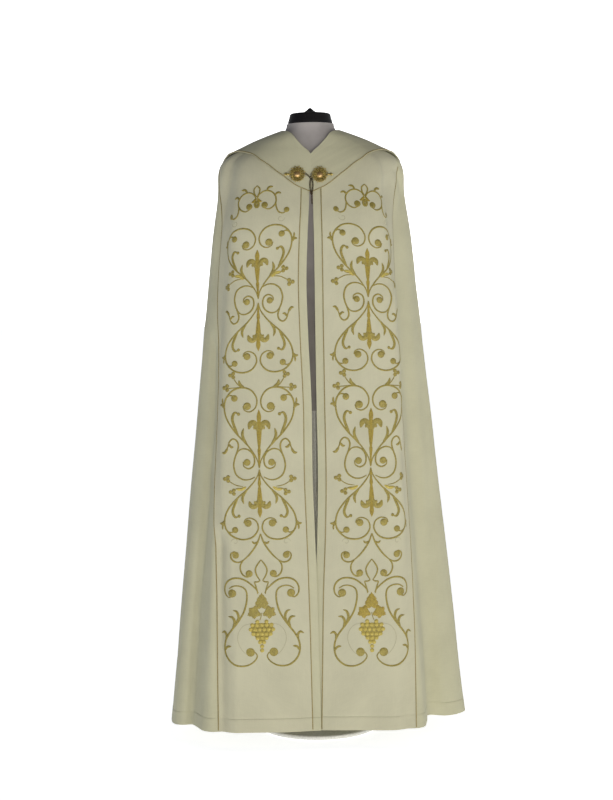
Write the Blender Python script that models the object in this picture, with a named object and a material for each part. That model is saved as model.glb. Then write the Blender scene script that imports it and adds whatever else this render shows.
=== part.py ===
"""A cope vestment on a limbless dress form: separate closed solids in metres, +Z up.

The front faces -Y and the wearer's left is +X. The origin is the middle of the stand's
underside. Every layer of cloth is worked out from one surface, which runs in rings from
the neckline over the shoulders to the chest and then straight down to the hem.
"""

import math
from collections import namedtuple

import bpy
import numpy as np
from mathutils import Matrix, Vector

# Cloth
WALL = 0.0015  # thickness of the cope and of its hood
BAND_WALL = 0.0012  # thickness of the embroidered bands
GAP = 0.0003  # space left between two pieces that touch
SEAM_GAP = 0.0003  # space between the two halves at the centre back

# Front bands and their piping
EDGE_STRIP = 0.020  # plain strip between the front edge and the inner piping
BAND_WIDTH = 0.230  # from the inner piping to the outer piping
PIPING_WIDTH = 0.0026
PIPING_HEIGHT = 0.0018
PIPING_MARGIN = 0.12  # part of its own strip that a piping leaves free on each side
BAND_COLUMNS = 7  # of the grid, across one band

# Heights of the hem
HEM_HEIGHT = 0.030
FRONT_HEM_HEIGHT = 0.040
FRONT_HEM_END = 0.36  # part of the way round to the centre back at which the hem starts to drop
SIDE_HEM_START = 0.50  # part at which it has dropped to its full length

# Neckline
NECK_V_RING = 5.25  # ring that the point of the V reaches at the centre front
NECK_V_REACH = 0.095  # length of arc over which the V climbs to the neck

# Grid of the cloth
SHOULDER_ROWS = 9
BODY_ROWS = 9
SIDE_COLUMNS = 31
CURVE_SAMPLES = 500

# Hood
HOOD_LIFT = 0.0048  # space between the hood and the cope below it
HOOD_NECK_LIFT = 0.0008  # the same at the neckline, where the hood is sewn in
HOOD_EDGE = 0.0006  # half of the space between the hood's two ends at the centre front
HOOD_BACK_LIFT = 0.006  # the same again, more, at the tip of the shield behind
HOOD_COLUMNS = 28
HOOD_ROWS = 7

# Clasp
ROSETTE_WIDTH = 0.036
ROSETTE_TALL = 0.040
ROSETTE_THICK = 0.0025
ROSETTE_DOME = 0.0055
ROSETTE_LOBES = 12
ROSETTE_LOBE_DEPTH = 0.07
ROSETTE_LEAF = 0.011
ROSETTE_LEFT = (-0.0340, 1.3815)
ROSETTE_RIGHT = (0.0216, 1.3795)
CHAIN_RADIUS = 0.0011
PENDANT_RADIUS = 0.0020
PENDANT_X = 0.0026
PENDANT_TOP = 1.3735
PENDANT_END = 1.3190

# Dress form and stand
NECK_TOP = 1.5160
NECK_WIDTH = 0.119
NECK_DEPTH = 0.124
FORM_SEAT_ROWS = 6  # rows of the cope's shoulders that rest on the form
CAP_BOTTOM_WIDTH = 0.113
CAP_TOP_WIDTH = 0.104
CAP_TALL = 0.027
KNOB_WIDTH = 0.038
KNOB_TALL = 0.014
POLE_DIAMETER = 0.026
BASE_DIAMETER = 0.300
BASE_THICK = 0.012
COLLAR_DIAMETER = 0.060
COLLAR_TALL = 0.030

Ring = namedtuple("Ring", "name height half_width front back roundness")
RINGS = [
    Ring("neck", 1.4960, 0.0660, 0.0640, 0.0700, 1.00),
    Ring("neck_root", 1.4885, 0.0880, 0.0670, 0.0780, 1.00),
    Ring("shoulder_inner", 1.4785, 0.1150, 0.0710, 0.0860, 0.95),
    Ring("shoulder_middle", 1.4665, 0.1440, 0.0750, 0.0940, 0.90),
    Ring("shoulder_outer", 1.4525, 0.1730, 0.0800, 0.1010, 0.80),
    Ring("shoulder_point", 1.4390, 0.2000, 0.0860, 0.1080, 0.70),
    Ring("shoulder_edge", 1.4190, 0.2250, 0.0940, 0.1160, 0.50),
    Ring("arm_top", 1.3900, 0.2345, 0.1050, 0.1250, 0.32),
    Ring("upper_arm", 1.3500, 0.2350, 0.1180, 0.1340, 0.18),
    Ring("upper_chest", 1.3050, 0.2385, 0.1320, 0.1410, 0.07),
    Ring("chest", 1.2600, 0.2470, 0.1440, 0.1460, 0.00),
]
CHEST_RING = len(RINGS) - 1
HEM_RING = CHEST_RING + 1

# Plan of each half at the chest and at the hem, one row for each ridge or valley of the cloth.
Station = namedtuple("Station", "name chest_x chest_y hem_x hem_y")
RIGHT_STATIONS = [
    Station("overlap", -0.040, -0.141, -0.040, -0.199),
    Station("centre_front", 0.000, -0.142, 0.000, -0.203),
    Station("front", 0.080, -0.145, 0.100, -0.211),
    Station("front_outer", 0.150, -0.140, 0.200, -0.211),
    Station("front_ridge", 0.184, -0.121, 0.250, -0.192),
    Station("front_return", 0.187, -0.088, 0.263, -0.138),
    Station("side_valley", 0.203, -0.053, 0.272, -0.080),
    Station("side_front", 0.232, -0.022, 0.318, -0.062),
    Station("side_ridge", 0.248, 0.012, 0.368, -0.005),
    Station("side_back", 0.243, 0.042, 0.350, 0.062),
    Station("valley_1", 0.222, 0.064, 0.286, 0.084),
    Station("ridge_1_side", 0.214, 0.082, 0.312, 0.142),
    Station("ridge_1", 0.199, 0.104, 0.304, 0.196),
    Station("ridge_1_back", 0.178, 0.114, 0.250, 0.196),
    Station("valley_2", 0.154, 0.118, 0.198, 0.152),
    Station("ridge_2_side", 0.130, 0.129, 0.180, 0.226),
    Station("ridge_2", 0.106, 0.140, 0.142, 0.272),
    Station("ridge_2_back", 0.082, 0.140, 0.104, 0.238),
    Station("valley_3", 0.056, 0.136, 0.076, 0.182),
    Station("ridge_3_side", 0.028, 0.142, 0.046, 0.246),
    Station("centre_back", 0.000, 0.146, 0.000, 0.282),
]
LEFT_STATIONS = [
    Station("overlap", 0.040, -0.146, 0.040, -0.206),
    Station("centre_front", 0.000, -0.147, 0.000, -0.209),
    Station("front", -0.085, -0.150, -0.105, -0.217),
    Station("front_outer", -0.155, -0.144, -0.208, -0.215),
    Station("front_ridge", -0.195, -0.125, -0.278, -0.197),
    Station("side_valley", -0.210, -0.096, -0.305, -0.148),
    Station("side_front", -0.232, -0.068, -0.342, -0.128),
    Station("side_ridge", -0.247, -0.022, -0.371, -0.052),
    Station("side_back", -0.243, 0.022, -0.356, 0.026),
    Station("valley_1", -0.223, 0.050, -0.290, 0.058),
    Station("ridge_1_side", -0.216, 0.072, -0.322, 0.118),
    Station("ridge_1", -0.203, 0.098, -0.312, 0.180),
    Station("ridge_1_back", -0.182, 0.110, -0.258, 0.186),
    Station("valley_2", -0.158, 0.115, -0.206, 0.144),
    Station("ridge_2_side", -0.134, 0.127, -0.192, 0.218),
    Station("ridge_2", -0.110, 0.139, -0.152, 0.268),
    Station("ridge_2_back", -0.085, 0.139, -0.110, 0.236),
    Station("valley_3", -0.058, 0.136, -0.080, 0.186),
    Station("ridge_3_side", -0.029, 0.142, -0.046, 0.250),
    Station("centre_back", 0.000, 0.146, 0.000, 0.282),
]

# Where the two front edges hang: apart down to the knee, then the left one laps over the right.
Edge = namedtuple("Edge", "name height right left")
FRONT_EDGES = [
    Edge("hem", 0.06, -0.0140, 0.0032),
    Edge("shin", 0.21, -0.0100, 0.0016),
    Edge("below_knee", 0.38, -0.0048, -0.0010),
    Edge("knee", 0.50, 0.0012, -0.0038),
    Edge("thigh", 0.64, 0.0053, -0.0075),
    Edge("hip", 0.82, 0.0047, -0.0074),
    Edge("waist", 1.00, 0.0044, -0.0133),
    Edge("ribs", 1.12, 0.0047, -0.0152),
    Edge("breast", 1.22, 0.0048, -0.0116),
    Edge("below_clasp", 1.32, 0.0039, -0.0058),
    Edge("clasp", 1.40, 0.0040, -0.0040),
    Edge("neck", 1.50, 0.0040, -0.0040),
]

# Lower edge of the hood, from the centre front (0) round to the centre back (1).
HoodEdge = namedtuple("HoodEdge", "name around height")
HOOD_EDGES = [
    HoodEdge("front_tip", 0.000, 1.336),
    HoodEdge("under_rosette", 0.070, 1.357),
    HoodEdge("breast", 0.125, 1.383),
    HoodEdge("collar", 0.180, 1.405),
    HoodEdge("shoulder_front", 0.250, 1.425),
    HoodEdge("shoulder", 0.330, 1.437),
    HoodEdge("shoulder_point", 0.470, 1.438),
    HoodEdge("shoulder_back", 0.560, 1.418),
    HoodEdge("blade", 0.630, 1.340),
    HoodEdge("back_side", 0.700, 1.225),
    HoodEdge("back_low", 0.780, 1.120),
    HoodEdge("back_round", 0.880, 1.036),
    HoodEdge("back_tip", 1.000, 0.990),
]

FormRing = namedtuple("FormRing", "name height half_width front back")
FORM_RINGS = [
    FormRing("chest", 1.230, 0.1860, 0.1220, 0.1130),
    FormRing("ribs", 1.120, 0.1650, 0.1120, 0.0980),
    FormRing("waist", 1.010, 0.1530, 0.1000, 0.0900),
    FormRing("hips", 0.890, 0.1760, 0.1100, 0.1160),
    FormRing("underside", 0.800, 0.1700, 0.1040, 0.1120),
]


def column(rows, name):
    """One named column of a table as an array."""
    return np.array([getattr(row, name) for row in rows], dtype=float)


def smooth_value(knots, values, position):
    """A smooth curve through values (one or more columns) at the knots, read at position."""
    slopes = np.gradient(values, knots, axis=0)
    start = np.clip(np.searchsorted(knots, position) - 1, 0, len(knots) - 2)
    width = knots[start + 1] - knots[start]
    part = (position - knots[start]) / width
    if values.ndim > 1:
        width = np.asarray(width)[..., None]
        part = np.asarray(part)[..., None]
    ease = part * part * (3.0 - 2.0 * part)
    lead = part * (1.0 - part) ** 2 * width
    tail = part * part * (part - 1.0) * width
    ends = values[start] * (1.0 - ease) + values[start + 1] * ease
    return ends + slopes[start] * lead + slopes[start + 1] * tail


RING_TABLE = np.array([row[1:] for row in RINGS], dtype=float)
CHEST = RINGS[-1]


class Half:
    """One half of the cope's surface. side is 1 for the right half of the front view, -1 for
    the left one. A place on it is (level, place): level 0 is the neck ring, CHEST_RING the chest
    and HEM_RING the hem; place runs from 0 just past the centre front to 1 at the centre back."""

    def __init__(self, stations, side):
        self.side = side
        beyond = Station("beyond", *(np.array(stations[-2][1:]) * (-1, 1, -1, 1)))
        rows = np.array([row[1:] for row in [*stations, beyond]], dtype=float)
        steps = np.diff(rows, axis=0)
        lengths = np.hypot(steps[:, 0], steps[:, 1]) + np.hypot(steps[:, 2], steps[:, 3])
        knots = np.concatenate([[0.0], np.cumsum(lengths)])
        self.places = np.linspace(0.0, 1.0, CURVE_SAMPLES)
        plan = smooth_value(knots, rows, self.places * knots[-2])
        self.chest = plan[:, :2]
        self.hem = plan[:, 2:]
        walk = np.hypot(*np.diff(self.chest, axis=0).T)
        self.chest_arc = np.concatenate([[0.0], np.cumsum(walk)])
        self.chest_arc -= np.interp(0.0, side * self.chest[:60, 0], self.chest_arc[:60])
        self.around = self.chest_arc / self.chest_arc[-1]
        depth = np.where(self.chest[:, 1] < 0.0, CHEST.front, CHEST.back)
        self.unit = self.chest / np.column_stack([np.full(len(depth), CHEST.half_width), depth])
        self.swell = np.hypot(self.unit[:, 0], self.unit[:, 1])
        reach = (self.around - FRONT_HEM_END) / (SIDE_HEM_START - FRONT_HEM_END)
        reach = np.clip(reach, 0.0, 1.0)
        drop = reach * reach * (3.0 - 2.0 * reach)
        self.hem_height = FRONT_HEM_HEIGHT + (HEM_HEIGHT - FRONT_HEM_HEIGHT) * drop

    def section(self, level):
        """The line round this half at one level, as many points as self.places."""
        if level <= CHEST_RING:
            height, half_width, front, back, roundness = smooth_value(
                np.arange(len(RINGS), dtype=float), RING_TABLE, level
            )
            pull = self.swell**-roundness
            depth = np.where(self.unit[:, 1] < 0.0, front, back)
            x = self.unit[:, 0] * half_width * pull
            y = self.unit[:, 1] * depth * pull
            return np.column_stack([x, y, np.full(len(x), height)])
        part = level - CHEST_RING
        plan = self.chest * (1.0 - part) + self.hem * part
        height = CHEST.height + (self.hem_height - CHEST.height) * part
        return np.column_stack([plan, height])

    def front_edge(self, line):
        """Index, as a real number, at which a section meets this half's front edge."""
        height = line[0, 2]
        side_name = "right" if self.side > 0 else "left"
        edge = smooth_value(column(FRONT_EDGES, "height"), column(FRONT_EDGES, side_name), height)
        near = CURVE_SAMPLES // 5
        return np.interp(self.side * edge, self.side * line[:near, 0], np.arange(near))

    def columns(self, level):
        """Places of the grid's columns at one level: the front band's edges keep their real
        distance from the front edge, and the other columns share what is left."""
        line = self.section(level)
        walk = np.hypot(*np.diff(line[:, :2], axis=0).T)
        arc = np.concatenate([[0.0], np.cumsum(walk)])
        index = np.arange(CURVE_SAMPLES)
        start = np.interp(self.front_edge(line), index, arc)
        shrink = 1.0
        if level < CHEST_RING:
            shrink = min(1.0, 1.07 * np.ptp(line[:, 0]) / np.ptp(self.chest[:, 0]))
        front = np.interp(start + FRONT_COLUMNS * shrink, arc, self.places)
        rest = front[-1] + (1.0 - front[-1]) * np.arange(1, SIDE_COLUMNS + 1) / SIDE_COLUMNS
        return np.concatenate([front, rest])

    def point(self, level, place):
        """The point of the surface at a place."""
        line = self.section(level)
        return np.array([np.interp(place, self.places, line[:, axis]) for axis in range(3)])

    def neck_level(self, place):
        """Level of the neckline at a place: a V at the centre front, the neck ring elsewhere."""
        arc = np.interp(place, self.places, self.chest_arc)
        return NECK_V_RING * math.exp(-max(arc, 0.0) / NECK_V_REACH)

    def level_at(self, height, place):
        """Level at which a place of the surface has this height."""
        if height >= CHEST.height:
            heights = RING_TABLE[::-1, 0]
            return float(np.interp(height, heights, np.arange(CHEST_RING, -1, -1, dtype=float)))
        hem = np.interp(place, self.places, self.hem_height)
        return CHEST_RING + (CHEST.height - height) / (CHEST.height - hem)

    def grid(self):
        """Points of the cope's outer side, [row, column], from the neckline to the hem."""
        chest_places = self.columns(CHEST_RING)
        rows = []
        for row in range(SHOULDER_ROWS):
            part = row / SHOULDER_ROWS
            points = []
            for index, place in enumerate(chest_places):
                neck = self.neck_level(place)
                level = neck + (CHEST_RING - neck) * part
                points.append(self.point(level, self.columns(level)[index]))
            rows.append(points)
        for row in range(BODY_ROWS + 1):
            level = CHEST_RING + row / BODY_ROWS
            rows.append([self.point(level, place) for place in self.columns(level)])
        grid = np.array(rows)
        grid[:, -1, 0] = self.side * SEAM_GAP / 2.0
        return grid


FRONT_COLUMNS = np.concatenate(
    [
        [0.0, EDGE_STRIP - PIPING_WIDTH / 2.0],
        np.linspace(
            EDGE_STRIP + PIPING_WIDTH / 2.0,
            EDGE_STRIP + BAND_WIDTH - PIPING_WIDTH / 2.0,
            BAND_COLUMNS + 1,
        ),
        [EDGE_STRIP + BAND_WIDTH + PIPING_WIDTH / 2.0],
    ]
)
INNER_PIPING_COLUMN = 1
BAND_FIRST = 2
BAND_LAST = BAND_FIRST + BAND_COLUMNS
OUTER_PIPING_COLUMN = BAND_LAST
BAND_TOP_ROW = 2  # the bands end under the hood


def clear_scene():
    for item in list(bpy.data.objects):
        bpy.data.objects.remove(item, do_unlink=True)


def finish(name, colour, roughness, metallic=0.0):
    """A plain material with the piece's colour."""
    material = bpy.data.materials.get(name) or bpy.data.materials.new(name)
    material.use_nodes = True
    shader = material.node_tree.nodes["Principled BSDF"]
    shader.inputs["Base Color"].default_value = (*colour, 1.0)
    shader.inputs["Roughness"].default_value = roughness
    shader.inputs["Metallic"].default_value = metallic
    return material


def cloth():
    return finish("cream_cloth", (0.62, 0.60, 0.45), 0.75)


def gold_thread():
    return finish("gold_thread", (0.40, 0.26, 0.06), 0.45, 0.3)


def gilt_metal():
    return finish("gilt_metal", (0.55, 0.36, 0.11), 0.35, 0.9)


def dark_metal():
    return finish("bronze_chain", (0.16, 0.12, 0.06), 0.4, 0.9)


def jersey():
    return finish("grey_jersey", (0.46, 0.44, 0.45), 0.85)


def black_wood():
    return finish("black_lacquer", (0.012, 0.010, 0.010), 0.4)


def white_metal():
    return finish("white_lacquer", (0.75, 0.75, 0.72), 0.35)


def add_mesh(name, points, faces, material):
    """A smooth-shaded mesh object from points and faces."""
    mesh = bpy.data.meshes.new(name)
    mesh.from_pydata([tuple(map(float, point)) for point in points], [], faces)
    mesh.validate()
    mesh.materials.append(material)
    mesh.shade_smooth()
    mesh.set_sharp_from_angle(angle=math.radians(40.0))
    item = bpy.data.objects.new(name, mesh)
    bpy.context.collection.objects.link(item)
    return item


def grid_normals(grid, outward=1.0):
    """Unit normals of a grid of points, out of the cloth."""
    down = np.gradient(grid, axis=0)
    across = np.gradient(grid, axis=1)
    normals = np.cross(down, across) * outward
    return normals / np.linalg.norm(normals, axis=2, keepdims=True)


def sheet_faces(row_count, column_count, flip, turn=0):
    """Triangles of a closed sheet: its outer points come first and its inner points follow.
    Columns before turn are cut along the other diagonal, so that a whole collar is symmetric."""
    size = row_count * column_count
    faces = []
    for row in range(row_count - 1):
        for col in range(column_count - 1):
            a = row * column_count + col
            b, c, d = a + 1, a + column_count + 1, a + column_count
            if col < turn:
                halves = [(a, d, b), (b, d, c)]
            else:
                halves = [(a, c, b), (a, d, c)]
            faces += halves
            faces += [tuple(size + corner for corner in half[::-1]) for half in halves]
    top = list(range(column_count))
    right = [row * column_count + column_count - 1 for row in range(row_count)]
    bottom = [(row_count - 1) * column_count + col for col in reversed(range(column_count))]
    left = [row * column_count for row in reversed(range(row_count))]
    border = top + right[1:] + bottom[1:] + left[1:]
    for a, b in zip(border[:-1], border[1:]):
        faces += [(a, b, size + a), (b, size + b, size + a)]
    if flip:
        faces = [face[::-1] for face in faces]
    return faces


def sheet(name, grid, normals, lift, wall, material, flip=False, turn=0):
    """A closed layer of cloth that starts lift above a grid and is wall thick."""
    outer = grid + normals * np.asarray(lift + wall)
    inner = grid + normals * np.asarray(lift)
    points = np.concatenate([outer.reshape(-1, 3), inner.reshape(-1, 3)])
    return add_mesh(name, points, sheet_faces(*grid.shape[:2], flip, turn), material)


def piping(name, line_a, line_b, normals, lift, flip=False):
    """A cord that lies along the strip between two neighbouring lines of a grid."""
    profile = (
        (PIPING_MARGIN, 0.0),
        (1.0 - PIPING_MARGIN, 0.0),
        (1.0 - PIPING_MARGIN, 0.55),
        (0.5, 1.0),
        (PIPING_MARGIN, 0.55),
    )
    points = []
    for a, b, normal in zip(line_a, line_b, normals):
        for across, up in profile:
            points.append(a + (b - a) * across + normal * (lift + up * PIPING_HEIGHT))
    sides = len(profile)
    faces = [tuple(reversed(range(sides))), tuple(range(len(points) - sides, len(points)))]
    for ring in range(len(line_a) - 1):
        for side in range(sides):
            a = ring * sides + side
            b = ring * sides + (side + 1) % sides
            faces += [(a, b + sides, a + sides), (a, b, b + sides)]
    if flip:
        faces = [face[::-1] for face in faces]
    return add_mesh(name, points, faces, gold_thread())


def cope_half(half, name):
    """One half of the cope with its applied band and the band's two pipings."""
    grid = half.grid()
    normals = grid_normals(grid, half.side)
    normals[:, -1] *= (0.0, 1.0, 1.0)
    normals[:, -1] /= np.linalg.norm(normals[:, -1], axis=1, keepdims=True)
    flip = half.side < 0
    sheet(f"mantle_{name}", grid, normals, -WALL, WALL, cloth(), flip)
    band = np.s_[BAND_TOP_ROW:, BAND_FIRST : BAND_LAST + 1]
    sheet(f"orphrey_{name}", grid[band], normals[band], GAP, BAND_WALL, cloth(), flip)
    for label, first in (("inner", INNER_PIPING_COLUMN), ("outer", OUTER_PIPING_COLUMN)):
        line_a = grid[BAND_TOP_ROW:, first]
        line_b = grid[BAND_TOP_ROW:, first + 1]
        along = normals[BAND_TOP_ROW:, first] + normals[BAND_TOP_ROW:, first + 1]
        along /= np.linalg.norm(along, axis=1, keepdims=True)
        piping(f"piping_{label}_{name}", line_a, line_b, along, GAP, flip)
    return grid, normals


def hood_grid(right, left):
    """Points of the cope under the hood, from the left end round the back to the right end."""
    edge_around = column(HOOD_EDGES, "around")
    edge_height = column(HOOD_EDGES, "height")
    parts = np.append(np.arange(HOOD_ROWS) / HOOD_ROWS, 1.0)
    halves = []
    for half in (left, right):
        lines = []
        for step in range(HOOD_COLUMNS + 1):
            around = step / HOOD_COLUMNS
            place = np.interp(around, half.around, half.places)
            neck = half.neck_level(place)
            height = smooth_value(edge_around, edge_height, around)
            end = half.level_at(height, place)
            levels = list(neck + (end - neck) * parts)
            line = [half.point(level, place) for level in levels]
            last = line[-2] - line[-1]
            line.insert(-1, line[-1] + last * (PIPING_WIDTH / np.linalg.norm(last)))
            if step == 0:
                line = [point * (0, 1, 1) + (half.side * HOOD_EDGE, 0, 0) for point in line]
            lines.append(line)
        halves.append(lines)
    columns = halves[0][:-1] + halves[1][::-1]
    return np.array(columns).transpose(1, 0, 2)


def hood(right, left):
    """The hood: a wide collar that meets at the centre front and hangs as a shield behind."""
    grid = hood_grid(right, left)
    normals = grid_normals(grid, -1.0)
    down = np.linspace(0.0, 1.0, grid.shape[0])[:, None, None]
    back = 1.0 - np.abs(np.linspace(-1.0, 1.0, grid.shape[1]))[None, :, None]
    lifts = HOOD_LIFT + HOOD_BACK_LIFT * down * back**3
    lifts[0] = HOOD_NECK_LIFT
    sheet("hood", grid, normals, lifts, WALL, cloth(), True, HOOD_COLUMNS)
    raised = grid + normals * (lifts + WALL)
    piping("hood_piping", raised[-2], raised[-1], normals[-1], 2.0 * GAP)


def front_place(half, x, height, lift):
    """A point lift above the cope's front and the surface's frame there (right, up, out)."""
    level = half.level_at(height, 0.0)
    step = 0.05

    def at(this_level, this_x):
        line = half.section(this_level)
        near = CURVE_SAMPLES // 3
        index = np.interp(half.side * this_x, half.side * line[:near, 0], np.arange(near))
        return np.array([np.interp(index, np.arange(near), line[:near, k]) for k in range(3)])

    middle = at(level, x)
    across = Vector(at(level, x + 0.004) - at(level, x - 0.004)).normalized()
    up = Vector(at(level - step, x) - at(level + step, x)).normalized()
    out = across.cross(up).normalized()
    up = out.cross(across)
    return Vector(middle) + out * lift, across, up, out


def rosette(name, half, spot, leaf_side):
    """A cast rosette with a scalloped rim, a domed middle and a leaf at its outer end."""
    centre, across, up, out = front_place(half, *spot, HOOD_LIFT + WALL + GAP * 1.5)
    turn = Matrix((across, up, out)).transposed()
    segments = ROSETTE_LOBES * 2
    rings = ((1.0, 0.0), (1.0, 0.55), (0.82, 1.0), (0.55, 1.35), (0.28, 2.0))
    points = []
    for reach, rise in rings:
        for step in range(segments):
            angle = 2.0 * math.pi * step / segments
            scallop = 1.0 - ROSETTE_LOBE_DEPTH * (1.0 - abs(math.cos(angle * ROSETTE_LOBES / 2.0)))
            radius = reach * (scallop if reach > 0.9 else 1.0)
            side = math.cos(angle) * ROSETTE_WIDTH / 2.0 * radius
            tip = max(0.0, math.cos(angle) * leaf_side - 0.93) / 0.07
            if reach > 0.9:
                side += leaf_side * ROSETTE_LEAF * tip
            high = math.sin(angle) * ROSETTE_TALL / 2.0 * radius
            points.append(centre + turn @ Vector((side, high, rise * ROSETTE_THICK)))
    points.append(centre)
    points.append(centre + out * ROSETTE_DOME)
    bottom, top = len(points) - 2, len(points) - 1
    faces = []
    for step in range(segments):
        after = (step + 1) % segments
        faces.append((bottom, after, step))
        for ring in range(len(rings) - 1):
            a, b = ring * segments + step, ring * segments + after
            faces += [(a, b, b + segments), (a, b + segments, a + segments)]
        last = (len(rings) - 1) * segments
        faces.append((last + step, last + after, top))
    add_mesh(name, points, faces, gilt_metal())


def cord(name, path, radius, material):
    """A round cord with flat ends along a list of points."""
    curve = bpy.data.curves.new(name, "CURVE")
    curve.dimensions = "3D"
    curve.bevel_depth = radius
    curve.bevel_resolution = 2
    curve.use_fill_caps = True
    spline = curve.splines.new("POLY")
    spline.points.add(len(path) - 1)
    for knot, point in zip(spline.points, path):
        knot.co = (*point, 1.0)
    curve.materials.append(material)
    item = bpy.data.objects.new(name, curve)
    bpy.context.collection.objects.link(item)


def clasp(right, left):
    """Two rosettes, the chain that joins them and its end that hangs down."""
    rosette("clasp_rosette_left", left, ROSETTE_LEFT, -1)
    rosette("clasp_rosette_right", right, ROSETTE_RIGHT, 1)
    lift = HOOD_LIFT + WALL + GAP * 3.0 + CHAIN_RADIUS
    clear = ROSETTE_WIDTH / 2.0 + GAP * 3.0
    start = ROSETTE_LEFT[0] + clear
    end = ROSETTE_RIGHT[0] - clear
    path = []
    for step in range(7):
        part = step / 6.0
        x = start + (end - start) * part
        sag = 0.004 * 4.0 * part * (1.0 - part)
        height = ROSETTE_LEFT[1] + (ROSETTE_RIGHT[1] - ROSETTE_LEFT[1]) * part - sag
        half = right if x > 0.0 else left
        path.append(front_place(half, x, height, lift)[0])
    cord("clasp_chain", path, CHAIN_RADIUS, dark_metal())
    lift = HOOD_LIFT + WALL + GAP * 1.5 + PENDANT_RADIUS
    path = []
    for step in range(5):
        part = step / 4.0
        height = PENDANT_TOP + (HOOD_EDGES[0].height - PENDANT_TOP) * part
        over_piping = (PIPING_HEIGHT + GAP) * min(1.0, part * 1.4)
        path.append(front_place(right, PENDANT_X, height, lift + over_piping)[0])
    path.append(Vector((path[-1].x, path[-1].y, PENDANT_END)))
    cord("clasp_pendant", path, PENDANT_RADIUS, dark_metal())


def dress_form(right_grid, right_normals, left_grid, left_normals):
    """The padded torso: its shoulders are the cope's inner points, moved in."""
    skip = {INNER_PIPING_COLUMN + 1, OUTER_PIPING_COLUMN + 1}
    keep = [index for index in range(right_grid.shape[1]) if index not in skip]
    inward = WALL + GAP
    right_seat = (right_grid - right_normals * inward)[:, keep]
    left_seat = (left_grid - left_normals * inward)[:, keep[:-1]]
    seat = np.concatenate([right_seat, left_seat[:, ::-1]], axis=1)[:FORM_SEAT_ROWS]
    seat[:, len(keep) - 1, 0] = 0.0
    direction = seat[-1, :, :2] / (RINGS[5].half_width, RINGS[5].back)
    direction /= np.linalg.norm(direction, axis=1, keepdims=True)
    rows = []
    neck_top = np.column_stack(
        [
            direction[:, 0] * NECK_WIDTH / 2.0,
            direction[:, 1] * NECK_DEPTH / 2.0,
            np.full(len(direction), NECK_TOP),
        ]
    )
    for part in (1.0, 0.7, 0.4, 0.18):
        spread = (1.0 - part) ** 2
        row = neck_top + (seat[0] - neck_top) * spread
        row[:, 2] = neck_top[:, 2] + (seat[0, :, 2] - neck_top[:, 2]) * (1.0 - part)
        rows.append(row)
    rows.extend(seat)
    for ring in FORM_RINGS:
        depth = np.where(direction[:, 1] < 0.0, ring.front, ring.back)
        side = direction[:, 0] * ring.half_width
        row = np.column_stack([side, direction[:, 1] * depth, np.full(len(depth), ring.height)])
        if ring is FORM_RINGS[0]:
            rows += [seat[-1] + (row - seat[-1]) * part for part in (0.3, 0.65)]
        rows.append(row)
    count = len(direction)
    points = [point for row in rows for point in row]
    faces = [tuple(range(count)), tuple(range(len(points) - 1, len(points) - count - 1, -1))]
    for ring in range(len(rows) - 1):
        for side in range(count):
            a = ring * count + side
            b = ring * count + (side + 1) % count
            faces += [(a, a + count, b + count), (a, b + count, b)]
    return add_mesh("form_torso", points, faces, jersey())


def turned(name, profile, material, segments=32, depth=1.0):
    """A solid of revolution about Z from (radius, height) pairs, bottom to top."""
    points = []
    for radius, height in profile:
        for step in range(segments):
            angle = 2.0 * math.pi * step / segments
            points.append((radius * math.cos(angle), depth * radius * math.sin(angle), height))
    last = (len(profile) - 1) * segments
    faces = [tuple(reversed(range(segments))), tuple(range(last, last + segments))]
    for ring in range(len(profile) - 1):
        for step in range(segments):
            a = ring * segments + step
            b = ring * segments + (step + 1) % segments
            faces += [(a, b, b + segments), (a, b + segments, a + segments)]
    return add_mesh(name, points, faces, material)


def stand():
    """The neck cap with its knob, the pole and the round base."""
    cap = NECK_TOP + GAP
    oval = NECK_DEPTH / NECK_WIDTH
    edge = 0.004
    low, high = CAP_BOTTOM_WIDTH / 2.0, CAP_TOP_WIDTH / 2.0
    cap_profile = [
        (low - edge / 2.0, cap),
        (low, cap + edge / 2.0),
        (high, cap + CAP_TALL - edge * 2.0),
        (high - edge, cap + CAP_TALL - edge * 0.7),
        (high - edge * 2.5, cap + CAP_TALL),
    ]
    turned("form_cap", cap_profile, black_wood(), 40, oval)
    knob = cap + CAP_TALL + GAP
    foot = KNOB_WIDTH / 2.0
    knob_profile = [
        (foot, knob),
        (foot * 0.80, knob + KNOB_TALL * 0.28),
        (foot * 0.42, knob + KNOB_TALL * 0.62),
        (foot * 0.22, knob + KNOB_TALL * 0.90),
        (foot * 0.10, knob + KNOB_TALL),
    ]
    turned("form_knob", knob_profile, black_wood(), 24)
    radius = POLE_DIAMETER / 2.0
    top = FORM_RINGS[-1].height - GAP
    turned("stand_pole", [(radius, BASE_THICK + GAP), (radius, top)], white_metal(), 24)
    bore = radius + GAP
    ring = COLLAR_DIAMETER / 2.0
    collar_bottom = BASE_THICK + GAP
    collar_profile = [
        (bore, collar_bottom),
        (ring, collar_bottom),
        (ring, collar_bottom + COLLAR_TALL * 0.25),
        (bore + 0.004, collar_bottom + COLLAR_TALL),
        (bore, collar_bottom + COLLAR_TALL),
    ]
    tube(collar_profile)
    rim = BASE_DIAMETER / 2.0
    base_profile = [
        (rim - 0.001, 0.0),
        (rim, 0.001),
        (rim, BASE_THICK * 0.45),
        (rim - 0.006, BASE_THICK * 0.85),
        (rim * 0.80, BASE_THICK),
    ]
    turned("stand_base", base_profile, white_metal(), 48)


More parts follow.
